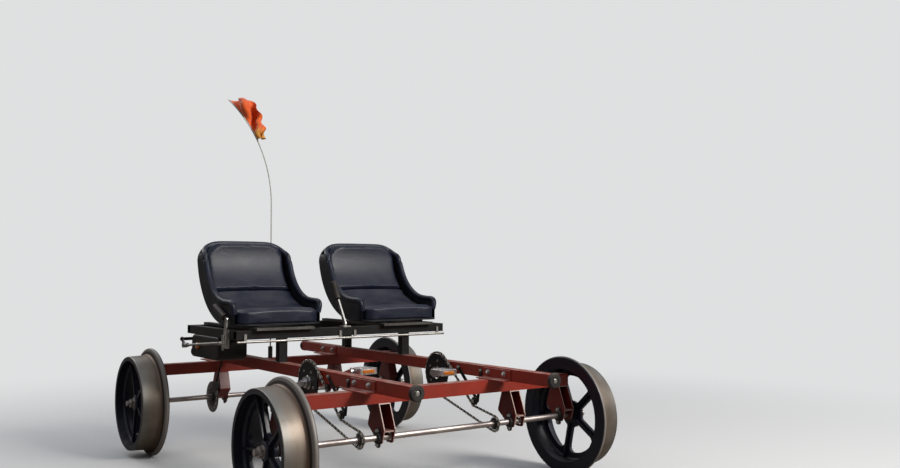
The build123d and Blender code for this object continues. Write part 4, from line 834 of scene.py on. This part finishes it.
def fit_pad(mesh, centre_x):
    """Crowns a pad's face, and keeps the rest of it clear of the shell."""
    for v in mesh.vertices:
        across = (v.co.x - centre_x) / PAD_HALF
        depth, inward = scoop_depth(v.co)
        if depth > PAD_FACE:
            v.co += inward * CROWN * max(0.0, 1.0 - across * across)
        v.co.x = centre_x + max(-PAD_HALF, min(PAD_HALF, v.co.x - centre_x))
        depth, inward = scoop_depth(v.co)
        if depth < PAD_CLEAR:
            v.co += inward * (PAD_CLEAR - depth)


def seats():
    """The padded seat and back of both seats. The right pair is the left one again."""
    shapes = {}
    for part in ("cushion", "back"):
        pad = plump(cad[f"seat_{part}_left"])
        fit_pad(pad.data, -BEAM_X)
        shapes[part] = pad.data
        bpy.data.objects.remove(pad)
    for side, shift in (("left", 0.0), ("right", 2 * BEAM_X)):
        for part, shape in shapes.items():
            mesh = shape.copy()
            mesh.transform(Matrix.Translation((shift, 0, 0)))
            mesh.materials.clear()
            mesh.materials.append(navy_vinyl)
            mesh.polygons.foreach_set("use_smooth", [True] * len(mesh.polygons))
            name = f"padded_{part}_{side}"
            mesh.name = name
            pad = into_scene(bpy.data.objects.new(name, mesh))
            smooth = pad.modifiers.new("smooth", "SUBSURF")
            smooth.levels = smooth.render_levels = 1
            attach(pad, f"seat_{side}")
            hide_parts(f"seat_{part}_{side}")


def round_bead(points, radius):
    """The mesh of a smooth round bead through the points."""
    curve = bpy.data.curves.new("bead", "CURVE")
    curve.dimensions = "3D"
    spline = curve.splines.new("NURBS")
    spline.points.add(len(points) - 1)
    for point, co in zip(spline.points, points):
        point.co = (*co, 1.0)
    spline.order_u = 3
    spline.use_endpoint_u = True
    curve.bevel_depth = radius
    curve.bevel_resolution = 4
    curve.resolution_u = 6
    curve.use_fill_caps = True
    holder = into_scene(bpy.data.objects.new("bead", curve))
    depsgraph = bpy.context.evaluated_depsgraph_get()
    mesh = bpy.data.meshes.new_from_object(holder.evaluated_get(depsgraph))
    bpy.data.objects.remove(holder)
    mesh.materials.clear()
    mesh.polygons.foreach_set("use_smooth", [True] * len(mesh.polygons))
    return mesh


def rolled_rims():
    """The padded vinyl roll that covers the shell's wings and the top of its back."""
    roll_radius, roll_out, roll_bend = 0.0135, 0.220, 0.266
    # One half of its line, as distance out from the seat's middle, y and z: the wing's front end,
    # then round the bend, and up over the shoulder to the middle of the back's top
    half = [(0.212, 0.068, 0.728), (0.219, 0.064, 0.760), (roll_out, 0.078, 0.781), (roll_out, 0.143, 0.781)]
    for turn in (15, 30, 45, 60, 75):
        a = math.radians(turn)
        half.append((roll_out, BEND_Y + roll_bend * math.sin(a), BEND_Z - roll_bend * math.cos(a)))
    half += [(roll_out, 0.409, 0.965), (0.2205, 0.411, 0.990), (0.218, 0.426, 1.009), (0.212, 0.452, 1.019),
             (0.194, 0.477, 1.041), (0.150, 0.483, 1.060), (0.080, 0.484, 1.062)]
    for side, cx in (("left", -BEAM_X), ("right", BEAM_X)):
        points = [(cx - x, y, z) for x, y, z in half] + [(cx + x, y, z) for x, y, z in reversed(half)]
        name = f"seat_roll_{side}"
        mesh = round_bead(points, roll_radius)
        mesh.name = name
        mesh.materials.append(navy_vinyl)
        roll = into_scene(bpy.data.objects.new(name, mesh))
        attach(roll, f"seat_{side}")


# Flag

# The whip stands straight up to this point, and bends from there on an arc of this radius. The
# bend leans this many degrees round from +X.
WHIP_BEND = Vector((-0.060, middle("cross_beam_rear").y, 1.284))
WHIP_RADIUS = 0.821
WHIP_LEAN = 138.5
# The flag's sleeve starts this far up the arc and takes this much of it, in degrees
WHIP_FROM, WHIP_SPAN = 26.0, 19.0
FLAG_WIDTH, FLAG_LENGTH = 0.180, 0.2723


def whip_point(degrees):
    a = math.radians(degrees)
    lean = math.radians(WHIP_LEAN)
    out = WHIP_RADIUS * (1.0 - math.cos(a))
    return WHIP_BEND + Vector((out * math.cos(lean), out * math.sin(lean), WHIP_RADIUS * math.sin(a)))


def flag_row(s, steps):
    """One row of the flag from the whip to its fly. The cloth swings to and fro as it goes, more so
    towards the foot, and the swings shift from row to row, so the folds run slantwise."""
    sleeve, fold, slant, rise = 0.0042, 0.152, 0.13, 0.2
    across = Vector((0.812, -0.584, 0.0))
    behind = Vector((0.584, 0.812, 0.0))
    at = whip_point(WHIP_FROM + WHIP_SPAN * s) + across * sleeve
    swing = 2.06 - 0.64 * min(1.0, s / 0.75) + 0.22 * max(0.0, (s - 0.75) / 0.25)
    ridge = slant * (s - 0.45) / 0.55
    points = [at.copy()]
    for k in range(steps):
        u = (k + 0.5) / steps * FLAG_WIDTH
        eager = min(1.0, 0.35 + u / 0.03)
        turn = eager * swing * math.sin((u - ridge) * 2.0 * math.pi / fold)
        turn += 0.16 * noise.noise(Vector((u * 40.0, s * 7.0, 1.7)))
        step = across * math.cos(turn) + behind * math.sin(turn) + Vector((0, 0, rise * math.cos(turn)))
        at = at + step.normalized() * (FLAG_WIDTH / steps)
        points.append(at.copy())
    return points


def flag():
    """The flag as cloth, folded across its fly and sleeved on the whip."""
    columns, rows = 72, 80
    lines = [flag_row(row / rows, columns) for row in range(rows + 1)]
    bm = bmesh.new()
    sheet_uv = bm.loops.layers.uv.new("cloth")
    bmesh.ops.create_grid(bm, x_segments=columns, y_segments=rows, size=0.5)
    flat = {}
    for v in bm.verts:
        t, s = v.co.x + 0.5, v.co.y + 0.5
        flat[v] = (t * FLAG_WIDTH, s * FLAG_LENGTH)
        v.co = lines[round(s * rows)][round(t * columns)]
    for face in bm.faces:
        for loop in face.loops:
            loop[sheet_uv].uv = flat[loop.vert]
    cloth = finish_piece(bm, "flag_sheet", flag_orange, "frame", angle=180.0)
    thick = cloth.modifiers.new("thickness", "SOLIDIFY")
    thick.thickness = 0.0006
    thick.offset = 0.0
    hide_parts("flag")


# Stage

BACKDROP = (0.74, 0.745, 0.75)
FLOOR = (0.66, 0.655, 0.645)
GROUND_BOUNCE = (0.22, 0.195, 0.17)
FLOOR_RADIUS = 60.0
FADE_FROM, FADE_TO = 1.3, 5.0


def plain_floor():
    """A pale floor that keeps the shadow and fades into the backdrop with distance. What lights the
    car from below is a duller and warmer tone of it than the camera sees."""
    material, b, shader = start_material("studio floor")
    path = b.add("ShaderNodeLightPath").outputs
    b.feed(shader["Base Color"], b.mix(path["Is Camera Ray"], GROUND_BOUNCE, FLOOR))
    shader["Roughness"].default_value = 0.9
    shader["Specular IOR Level"].default_value = 0.1
    glow = b.add("ShaderNodeEmission")
    b.feed(glow.inputs["Color"], BACKDROP)
    b.feed(glow.inputs["Strength"], 1.0)
    span = b.add("ShaderNodeVectorMath", operation="LENGTH")
    b.feed(span.inputs[0], b.place())
    fade = b.ramp(span.outputs["Value"], FADE_FROM, FADE_TO)
    nodes = material.node_tree.nodes
    join = b.add("ShaderNodeMixShader")
    b.feed(join.inputs[0], b.maths("MULTIPLY", fade, path["Is Camera Ray"]))
    b.feed(join.inputs[1], nodes["Principled BSDF"].outputs[0])
    b.feed(join.inputs[2], glow.outputs[0])
    b.feed(nodes["Material Output"].inputs["Surface"], join.outputs[0])
    bm = bmesh.new()
    bmesh.ops.create_circle(bm, cap_ends=True, segments=96, radius=FLOOR_RADIUS)
    mesh = bpy.data.meshes.new("studio_floor")
    bm.to_mesh(mesh)
    bm.free()
    mesh.materials.append(material)
    into_scene(bpy.data.objects.new("studio_floor", mesh))


def soft_sky():
    """A plain backdrop for the camera, and for the car a sky that is dull near the ground."""
    world = bpy.data.worlds.new("studio")
    bpy.context.scene.world = world
    world.use_nodes = True
    b = Board(world.node_tree)
    sky = world.node_tree.nodes["Background"].inputs
    path = b.add("ShaderNodeLightPath").outputs
    height = b.split(b.add("ShaderNodeTexCoord").outputs["Generated"])["Z"]
    around = b.mix(b.ramp(height, 0.05, 0.75), (0.060, 0.056, 0.054), (0.44, 0.47, 0.52))
    b.feed(sky["Color"], b.mix(path["Is Camera Ray"], around, BACKDROP))
    sky["Strength"].default_value = 1.0


def lamps():
    """Three soft lamps that look at the middle of the car."""
    target = Vector((0, 0, 0.4))
    for name, spot, size, power, tint in (
        ("key", (2.6, -5.6, 4.4), 2.4, 440.0, (1.0, 0.97, 0.93)),
        ("fill", (-5.0, -2.5, 3.5), 4.0, 12.0, (0.93, 0.96, 1.0)),
        ("back", (-1.5, 6.0, 5.0), 4.0, 130.0, (1.0, 0.98, 0.95)),
    ):
        lamp = bpy.data.lights.new(name, "AREA")
        lamp.size = size
        lamp.energy = power
        lamp.color = tint
        holder = into_scene(bpy.data.objects.new(name, lamp))
        holder.location = spot
        holder.rotation_euler = (target - Vector(spot)).to_track_quat("-Z", "Y").to_euler()


def photo_camera():
    """The photograph's camera, as solved from the wheels and the distance between them."""
    camera = bpy.data.cameras.new("camera")
    camera.lens = 36.92
    camera.sensor_width = 36.0
    holder = into_scene(bpy.data.objects.new("camera", camera))
    holder.location = (-2.2055, -3.915, 0.9214)
    holder.rotation_euler = (math.radians(92.34), 0.0, math.radians(-35.72))
    bpy.context.scene.camera = holder


bpy.context.scene.view_settings.view_transform = "Standard"
plain_floor()
soft_sky()
lamps()
photo_camera()
dress_frame()
frame_bolts()
frame_welds()
seat_frame_welds()
pedal_details()
crank_bolts()
seats()
rolled_rims()
flag()
